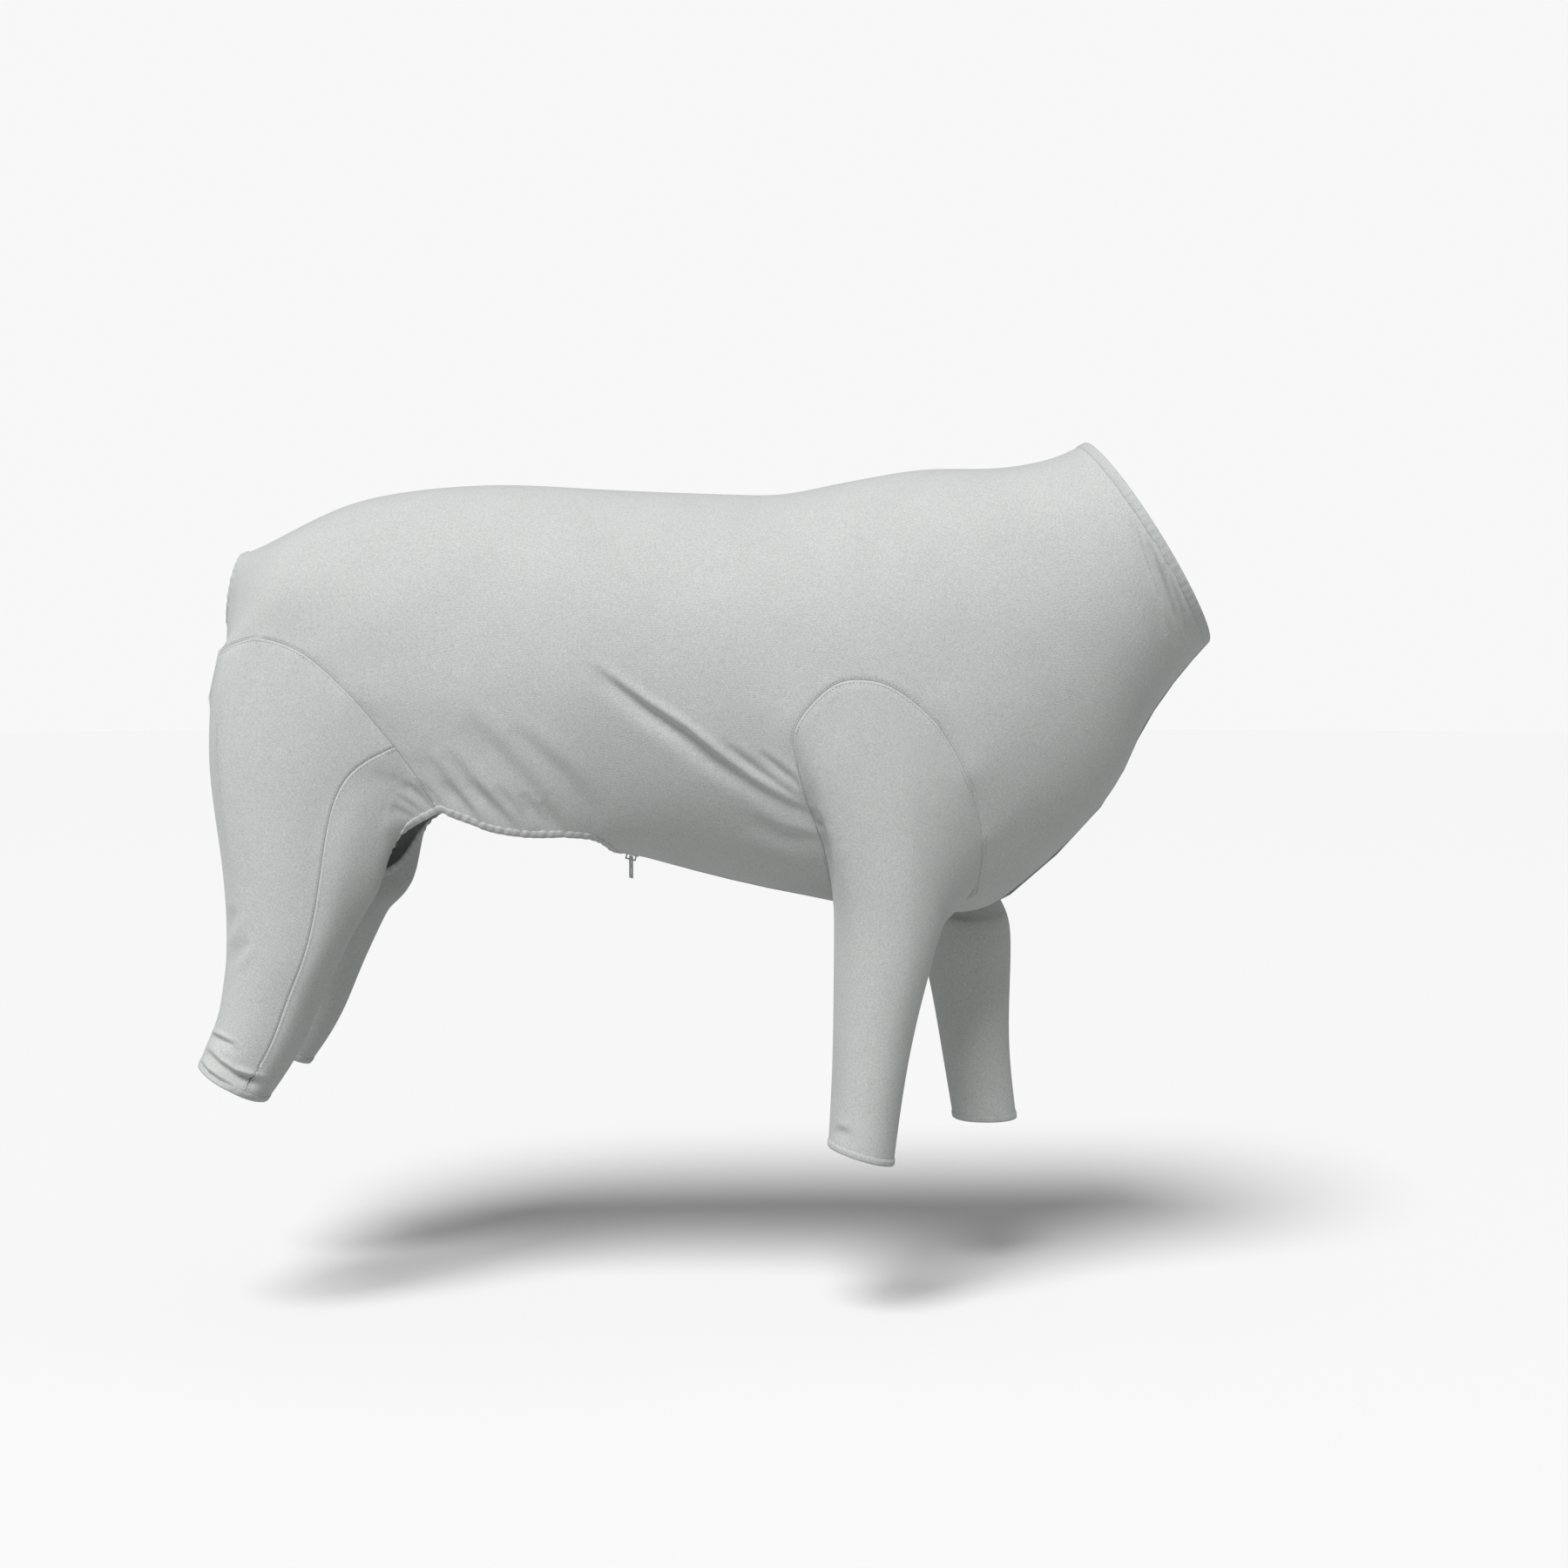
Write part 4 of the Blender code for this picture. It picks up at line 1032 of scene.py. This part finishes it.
def node_group(name, place, numbers, outputs, fill):
    """A shared group, made once: a vector, numbers with their first values, and what fill makes of them."""
    group = bpy.data.node_groups.get(name)
    if group:
        return group
    group = bpy.data.node_groups.new(name, "ShaderNodeTree")
    group.interface.new_socket(place, in_out="INPUT", socket_type="NodeSocketVector")
    for label, value in numbers:
        socket = group.interface.new_socket(label, in_out="INPUT", socket_type="NodeSocketFloat")
        socket.default_value = value
    for label in outputs:
        group.interface.new_socket(label, in_out="OUTPUT", socket_type="NodeSocketFloat")
    given = group.nodes.new("NodeGroupInput")
    out = group.nodes.new("NodeGroupOutput")
    for label, made in zip(outputs, fill(Wires(group), given.outputs)):
        group.links.new(made, out.inputs[label])
    return group


class Wires:
    """Adds nodes to a tree and joins them, each placed a step to the right of the last."""

    def __init__(self, tree):
        self.tree = tree
        self.count = 0

    def add(self, kind, *links, **values):
        made = self.tree.nodes.new("ShaderNode" + kind)
        self.count += 1
        made.location = (180 * self.count, -40 * (self.count % 5))
        for key, value in values.items():
            setattr(made, key, value)
        for n, link in enumerate(links):
            self.put(made, n, link)
        return made

    def put(self, made, socket, value):
        if hasattr(value, "links"):
            self.tree.links.new(value, made.inputs[socket])
        elif value is not None:
            made.inputs[socket].default_value = value

    def sum(self, kind, *links):
        return self.add("Math", *links, operation=kind).outputs[0]


def knit_loops(wires, given):
    """Rows of knitted loops on a flat pattern: their height and a mask of the furrows between them, used for
    painted shade.
    """
    flat = wires.add("SeparateXYZ", given["Flat"])
    wale = wires.sum("DIVIDE", flat.outputs[0], given["Wale"])
    course = wires.sum("DIVIDE", flat.outputs[1], given["Course"])
    part = wires.sum("FRACT", wale)
    slope = wires.sum("ABSOLUTE", wires.sum("SUBTRACT", part, 0.5))
    column = wires.sum("SINE", wires.sum("MULTIPLY", part, math.pi))
    row = wires.sum("ADD", course, wires.sum("MULTIPLY", slope, 1.3))
    loop = wires.sum("SINE", wires.sum("MULTIPLY", row, 2 * math.pi))
    height = wires.sum("ADD", wires.sum("MULTIPLY", column, 0.65), wires.sum("MULTIPLY", loop, 0.22))
    furrow_shade = wires.sum("SUBTRACT", 1.0, wires.sum("POWER", column, 0.5))
    return height, furrow_shade


def grain_noise(wires, given):
    """Fine fuzz and soft unevenness of tone on a piece's own coordinates."""
    noises = []
    for label, detail in (("Fine", 3), ("Broad", 4)):
        noise = wires.add("TexNoise", given["Place"])
        wires.put(noise, "Scale", given[label])
        wires.put(noise, "Detail", detail)
        noises.append(noise.outputs[0])
    fine, broad = noises
    tone = wires.sum("ADD", wires.sum("MULTIPLY", fine, 0.85), wires.sum("MULTIPLY", broad, 0.15))
    return fine, tone


def add_grain(wires, fine=900, broad=22):
    group = node_group(
        "Cloth grain", "Place", (("Fine", 900.0), ("Broad", 22.0)), ("Fuzz", "Tone"), grain_noise)
    grain = wires.add("Group", node_tree=group)
    wires.put(grain, "Place", wires.add("TexCoord").outputs["Object"])
    wires.put(grain, "Fine", fine)
    wires.put(grain, "Broad", broad)
    return grain.outputs


def dress(wires, shader, colour, shade, height, strength, distance):
    """Gives a shader its shaded colour and its bump."""
    tint = wires.add("VectorMath", operation="SCALE")
    wires.put(tint, 0, colour)
    wires.put(tint, 3, shade)
    wires.put(shader, "Base Color", tint.outputs[0])
    bump = wires.add("Bump")
    wires.put(bump, "Strength", strength)
    wires.put(bump, "Distance", distance)
    wires.put(bump, "Height", height)
    wires.put(shader, "Normal", bump.outputs[0])


def cloth_material(name, colour, wale):
    """Stretch knit: loops on the flat pattern, fuzz, uneven tone, painted shade in the loops' furrows and a
    soft sheen.
    """
    made = bpy.data.materials.get(name)
    if made:
        return made
    made = bpy.data.materials.new(name)
    made.use_nodes = True
    wires = Wires(made.node_tree)
    shader = made.node_tree.nodes["Principled BSDF"]
    group = node_group(
        "Knit loops", "Flat", (("Wale", 0.001), ("Course", 0.0008)), ("Height", "Furrow shade"), knit_loops)
    knit = wires.add("Group", node_tree=group)
    wires.put(knit, "Flat", wires.add("UVMap", uv_map="Knit").outputs[0])
    wires.put(knit, "Wale", wale)
    wires.put(knit, "Course", wale * 0.8)
    grain = add_grain(wires)
    tone = wires.add("MapRange", grain["Tone"], 0.32, 0.68, 0.84, 1.14)
    # Painted shade: the colour is darkened by up to 14% in the furrows between the loops' columns.
    furrow_shade = wires.add("MapRange", knit.outputs["Furrow shade"], 0.0, 1.0, 1.0, 0.86)
    shade = wires.sum("MULTIPLY", tone.outputs[0], furrow_shade.outputs[0])
    height = wires.sum("ADD", knit.outputs["Height"], wires.sum("MULTIPLY", grain["Fuzz"], 0.5))
    dress(wires, shader, colour, shade, height, 0.7, 0.12 * MM)
    shader.inputs["Roughness"].default_value = 0.92
    shader.inputs["Specular IOR Level"].default_value = 0.25
    shader.inputs["Sheen Weight"].default_value = 0.25
    shader.inputs["Sheen Roughness"].default_value = 0.55
    return made


def hard_material(name, colour, roughness, metallic):
    """Cast zinc or nylon with fine wear and a slightly uneven gloss."""
    made = bpy.data.materials.get(name)
    if made:
        return made
    made = bpy.data.materials.new(name)
    made.use_nodes = True
    wires = Wires(made.node_tree)
    shader = made.node_tree.nodes["Principled BSDF"]
    grain = add_grain(wires, 1600, 180)
    tone = wires.add("MapRange", grain["Tone"], 0.3, 0.7, 0.85, 1.1)
    gloss = wires.add("MapRange", grain["Fuzz"], 0.3, 0.7, roughness - 0.06, roughness + 0.08)
    wires.put(shader, "Roughness", gloss.outputs[0])
    dress(wires, shader, colour, tone.outputs[0], grain["Fuzz"], 0.3, 0.03 * MM)
    shader.inputs["Metallic"].default_value = metallic
    return made


def trim_material(knit):
    return cloth_material("Trim knit", tuple(knit.trim_colour), knit.wale)


def finish_piece(piece, material, slot, *nodes):
    piece.data.materials.clear()
    piece.data.materials.append(material)
    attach(piece, "suit")
    if nodes:
        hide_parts(*nodes)


class JUMPSUIT_OT_bindings(bpy.types.Operator):
    """Makes the neck band, the gathered rim, the tail binding and the hems of the cuffs"""

    bl_idname = "jumpsuit.bindings"
    bl_label = "Bindings and hems"

    def execute(self, context):
        knit, trim = context.scene.jumpsuit_knit, context.scene.jumpsuit_trim
        edges = worn_cloth()["edges"]
        material = trim_material(knit)
        made = [
            ("collar_binding", "collar", "collar_band", trim.collar_band, 0.12, True),
            ("gathered_rim", "rim", "cutout_rim", trim.rim_band, 0.45, True),
            ("tail_hole_binding", "tail", "tail_binding", trim.tail_band, 0.3, False),
        ]
        for kind in ("front", "hind"):
            for side in ("right", "left"):
                names = (f"{kind}_{part}_{side}" for part in ("cuff_hem", "cuff", "hem"))
                made.append((*names, trim.cuff_band, 0.1, False))
        for name, edge, node, width, gather, opening in made:
            piece = band(name, edges[edge], width, knit, gather * MM, opening)
            finish_piece(piece, material, "trim", node)
        return {"FINISHED"}


class JUMPSUIT_OT_cloth(bpy.types.Operator):
    """Makes the seven panels of the cloth with their folds, each as a sheet with its wall"""

    bl_idname = "jumpsuit.cloth"
    bl_label = "Cloth panels"

    def execute(self, context):
        knit = context.scene.jumpsuit_knit
        cloth = worn_cloth()["cloth"]
        material = cloth_material("Stretch knit", tuple(knit.colour), knit.wale)
        for number, name in enumerate(PANELS):
            piece = panel_sheet(cloth, number, name + "_cloth", knit)
            finish_piece(piece, material, "knit", name)
            size, area = flat_cut(cloth, number, WORN["cuts"][name], knit.stretch)
        return {"FINISHED"}


class JUMPSUIT_OT_stitching(bpy.types.Operator):
    """Sews a row of stitches along both sides of every seam"""

    bl_idname = "jumpsuit.stitching"
    bl_label = "Seam stitching"

    def execute(self, context):
        knit, trim = context.scene.jumpsuit_knit, context.scene.jumpsuit_trim
        bars = []
        for line in worn_cloth()["seams"]:
            for side in (2, 3):
                beside = [(row[0] + row[side] * STITCH_ROW, row[1], row[side]) for row in line]
                bars.append(stitch_bars(beside, trim.stitch))
        material = cloth_material("Sewing thread", tuple(knit.trim_colour), THREAD)
        piece = new_piece("seam_stitches", bars_mesh("seam_stitches", np.concatenate(bars)))
        finish_piece(piece, material, "trim")
        return {"FINISHED"}


def zip_core(name, line):
    """The woven strip under the coil's teeth."""
    points, at = spaced(line, CORE_STEP, False)
    place, normal = points[:, 0], unit(points[:, 1])
    side = np.array((0, 1, 0))
    half = COIL_WIDTH * CORE_SHARE
    section = ((-half, CORE_RISE), (half, CORE_RISE), (half, -CORE_RISE), (-half, -CORE_RISE))
    rings = np.stack([place + side * y + normal * (z - WALL) for y, z in section], axis=1)
    flats = np.stack([np.column_stack((np.full(len(at), y), at)) for y, _ in section], axis=1)
    return tube_mesh(name, rings, False, flats)


def zip_teeth(line):
    """The coil's turns, hooked over the middle from both sides in turn."""
    points, _ = spaced(line, TOOTH_PITCH / 2, False)
    place, normal = points[:, 0], unit(points[:, 1])
    along = unit(np.gradient(place, axis=0))
    hand = np.where(np.arange(len(points)) % 2, 1.0, -1.0)[:, None]
    side = np.array((0, 1, 0)) * hand
    thread = TOOTH_PITCH * 0.34
    rings = []
    for reach, rise, swell in ((2.45, -0.9, 1.0), (1.9, 0.15, 1.0), (0.6, 0.3, 1.15), (-0.35, -0.1, 1.3)):
        centre = place + side * reach * MM + normal * (rise * MM - WALL / 2)
        rings.append(four_sided(centre, along * thread * swell, normal * thread * 0.8))
    return np.stack(rings, axis=1)


class JUMPSUIT_OT_zip(bpy.types.Operator):
    """Makes the zip's coil and finishes its tapes, slider and pull"""

    bl_idname = "jumpsuit.zip"
    bl_label = "Zip"

    def execute(self, context):
        knit, trim = context.scene.jumpsuit_knit, context.scene.jumpsuit_trim
        tape = trim_material(knit)
        coil = hard_material("Zip coil", tuple(knit.trim_colour), 0.5, 0.0)
        metal = hard_material("Zip metal", tuple(trim.metal_colour), 0.38, 0.85)
        line = worn_cloth()["zip"][:-1]
        finish_piece(new_piece("zip_coil_core", zip_core("zip_coil_core", line)), tape, "coil")
        teeth = new_piece("zip_coil_teeth", bars_mesh("zip_coil_teeth", zip_teeth(line)))
        finish_piece(teeth, coil, "coil", "zip_coil")
        for name, material in (
            ("zip_tape_right", tape), ("zip_tape_left", tape), ("zip_slider", metal), ("zip_pull", metal),
        ):
            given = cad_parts[name].data
            given.materials.clear()
            given.materials.append(material)
        return {"FINISHED"}


class JUMPSUIT_OT_stage(bpy.types.Operator):
    """Sets out the pale floor, the soft studio light and the camera"""

    bl_idname = "jumpsuit.stage"
    bl_label = "Stage"

    def execute(self, context):
        settings = context.scene.jumpsuit_stage
        scene = context.scene
        bpy.ops.object.select_all(action="DESELECT")
        bpy.ops.mesh.primitive_circle_add(
            vertices=96, radius=FLOOR_RADIUS, fill_type="NGON", location=(0, 0, FLOOR_HEIGHT))
        floor = context.object
        floor.name = "studio_floor"
        bpy.ops.object.transform_apply(location=True, rotation=True, scale=True)
        paint = bpy.data.materials.new("Floor paint")
        paint.use_nodes = True
        shader = paint.node_tree.nodes["Principled BSDF"]
        shader.inputs["Roughness"].default_value = 0.9
        wires = Wires(paint.node_tree)
        path = wires.add("LightPath")
        tint = wires.add("Mix", data_type="RGBA")
        wires.put(tint, 0, path.outputs["Is Camera Ray"])
        tint.inputs[6].default_value = (settings.bounce, settings.bounce, settings.bounce, 1)
        tint.inputs[7].default_value = (*settings.floor_colour, 1)
        paint.node_tree.links.new(tint.outputs[2], shader.inputs["Base Color"])
        floor.data.materials.append(paint)
        world = bpy.data.worlds.new("Studio room")
        world.use_nodes = True
        tree = world.node_tree
        room = tree.nodes["Background"]
        room.inputs["Color"].default_value = (1, 1, 1, 1)
        room.inputs["Strength"].default_value = settings.room_light
        wires = Wires(tree)
        wall = wires.add("Background")
        wall.inputs["Color"].default_value = (*settings.floor_colour, 1)
        wall.inputs["Strength"].default_value = ROOM_GLOW
        path = wires.add("LightPath")
        mix = wires.add("MixShader", path.outputs["Is Camera Ray"], room.outputs[0], wall.outputs[0])
        tree.links.new(mix.outputs[0], tree.nodes["World Output"].inputs["Surface"])
        scene.world = world
        light = bpy.data.lights.new("softbox_top", "SUN")
        light.angle = LIGHT_ANGLE
        light.energy = settings.top_light
        lamp = new_piece("softbox_top", light)
        lamp.location = (-0.6, -0.9, 2.0)
        lamp.rotation_euler = LIGHT_RUN.to_track_quat("-Z", "Y").to_euler()
        camera = new_piece("camera", bpy.data.cameras.new("camera"))
        camera.data.sensor_width = 36
        camera.data.lens = 36 * FOCUS / PICTURE
        camera.location = CAMERA_PLACE
        camera.rotation_euler = (math.pi / 2 + CAMERA_PITCH, 0, 0)
        scene.camera = camera
        scene.view_settings.view_transform = "Standard"
        return {"FINISHED"}


class JUMPSUIT_PT_sidebar(bpy.types.Panel):
    """The jumpsuit's sizes, colours and steps"""

    bl_idname = "JUMPSUIT_PT_sidebar"
    bl_label = "Dog Jumpsuit"
    bl_space_type = "VIEW_3D"
    bl_region_type = "UI"
    bl_category = "Jumpsuit"

    def draw(self, context):
        for settings in SETTINGS:
            group = getattr(context.scene, settings)
            box = self.layout.box()
            for name in group.bl_rna.properties.keys():
                if name not in ("rna_type", "name"):
                    box.prop(group, name)
        for step in STEPS:
            self.layout.operator(step)


SETTINGS = {"jumpsuit_knit": JumpsuitKnit, "jumpsuit_trim": JumpsuitTrim, "jumpsuit_stage": JumpsuitStage}
STEPS = ("jumpsuit.bindings", "jumpsuit.cloth", "jumpsuit.stitching", "jumpsuit.zip", "jumpsuit.stage")
CLASSES = (
    JumpsuitKnit, JumpsuitTrim, JumpsuitStage, JUMPSUIT_OT_bindings, JUMPSUIT_OT_cloth,
    JUMPSUIT_OT_stitching, JUMPSUIT_OT_zip, JUMPSUIT_OT_stage, JUMPSUIT_PT_sidebar,
)


def register():
    for made in CLASSES:
        bpy.utils.register_class(made)
    for name, made in SETTINGS.items():
        setattr(bpy.types.Scene, name, bpy.props.PointerProperty(type=made))


def unregister():
    for name in SETTINGS:
        delattr(bpy.types.Scene, name)
    for made in reversed(CLASSES):
        bpy.utils.unregister_class(made)


def corners(bounds):
    return [list(corner) for corner in bounds]


def main():
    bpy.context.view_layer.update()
    register()
    for step in STEPS:
        area, name = step.split(".")
        getattr(getattr(bpy.ops, area), name)()


if __name__ == "__main__":
    main()
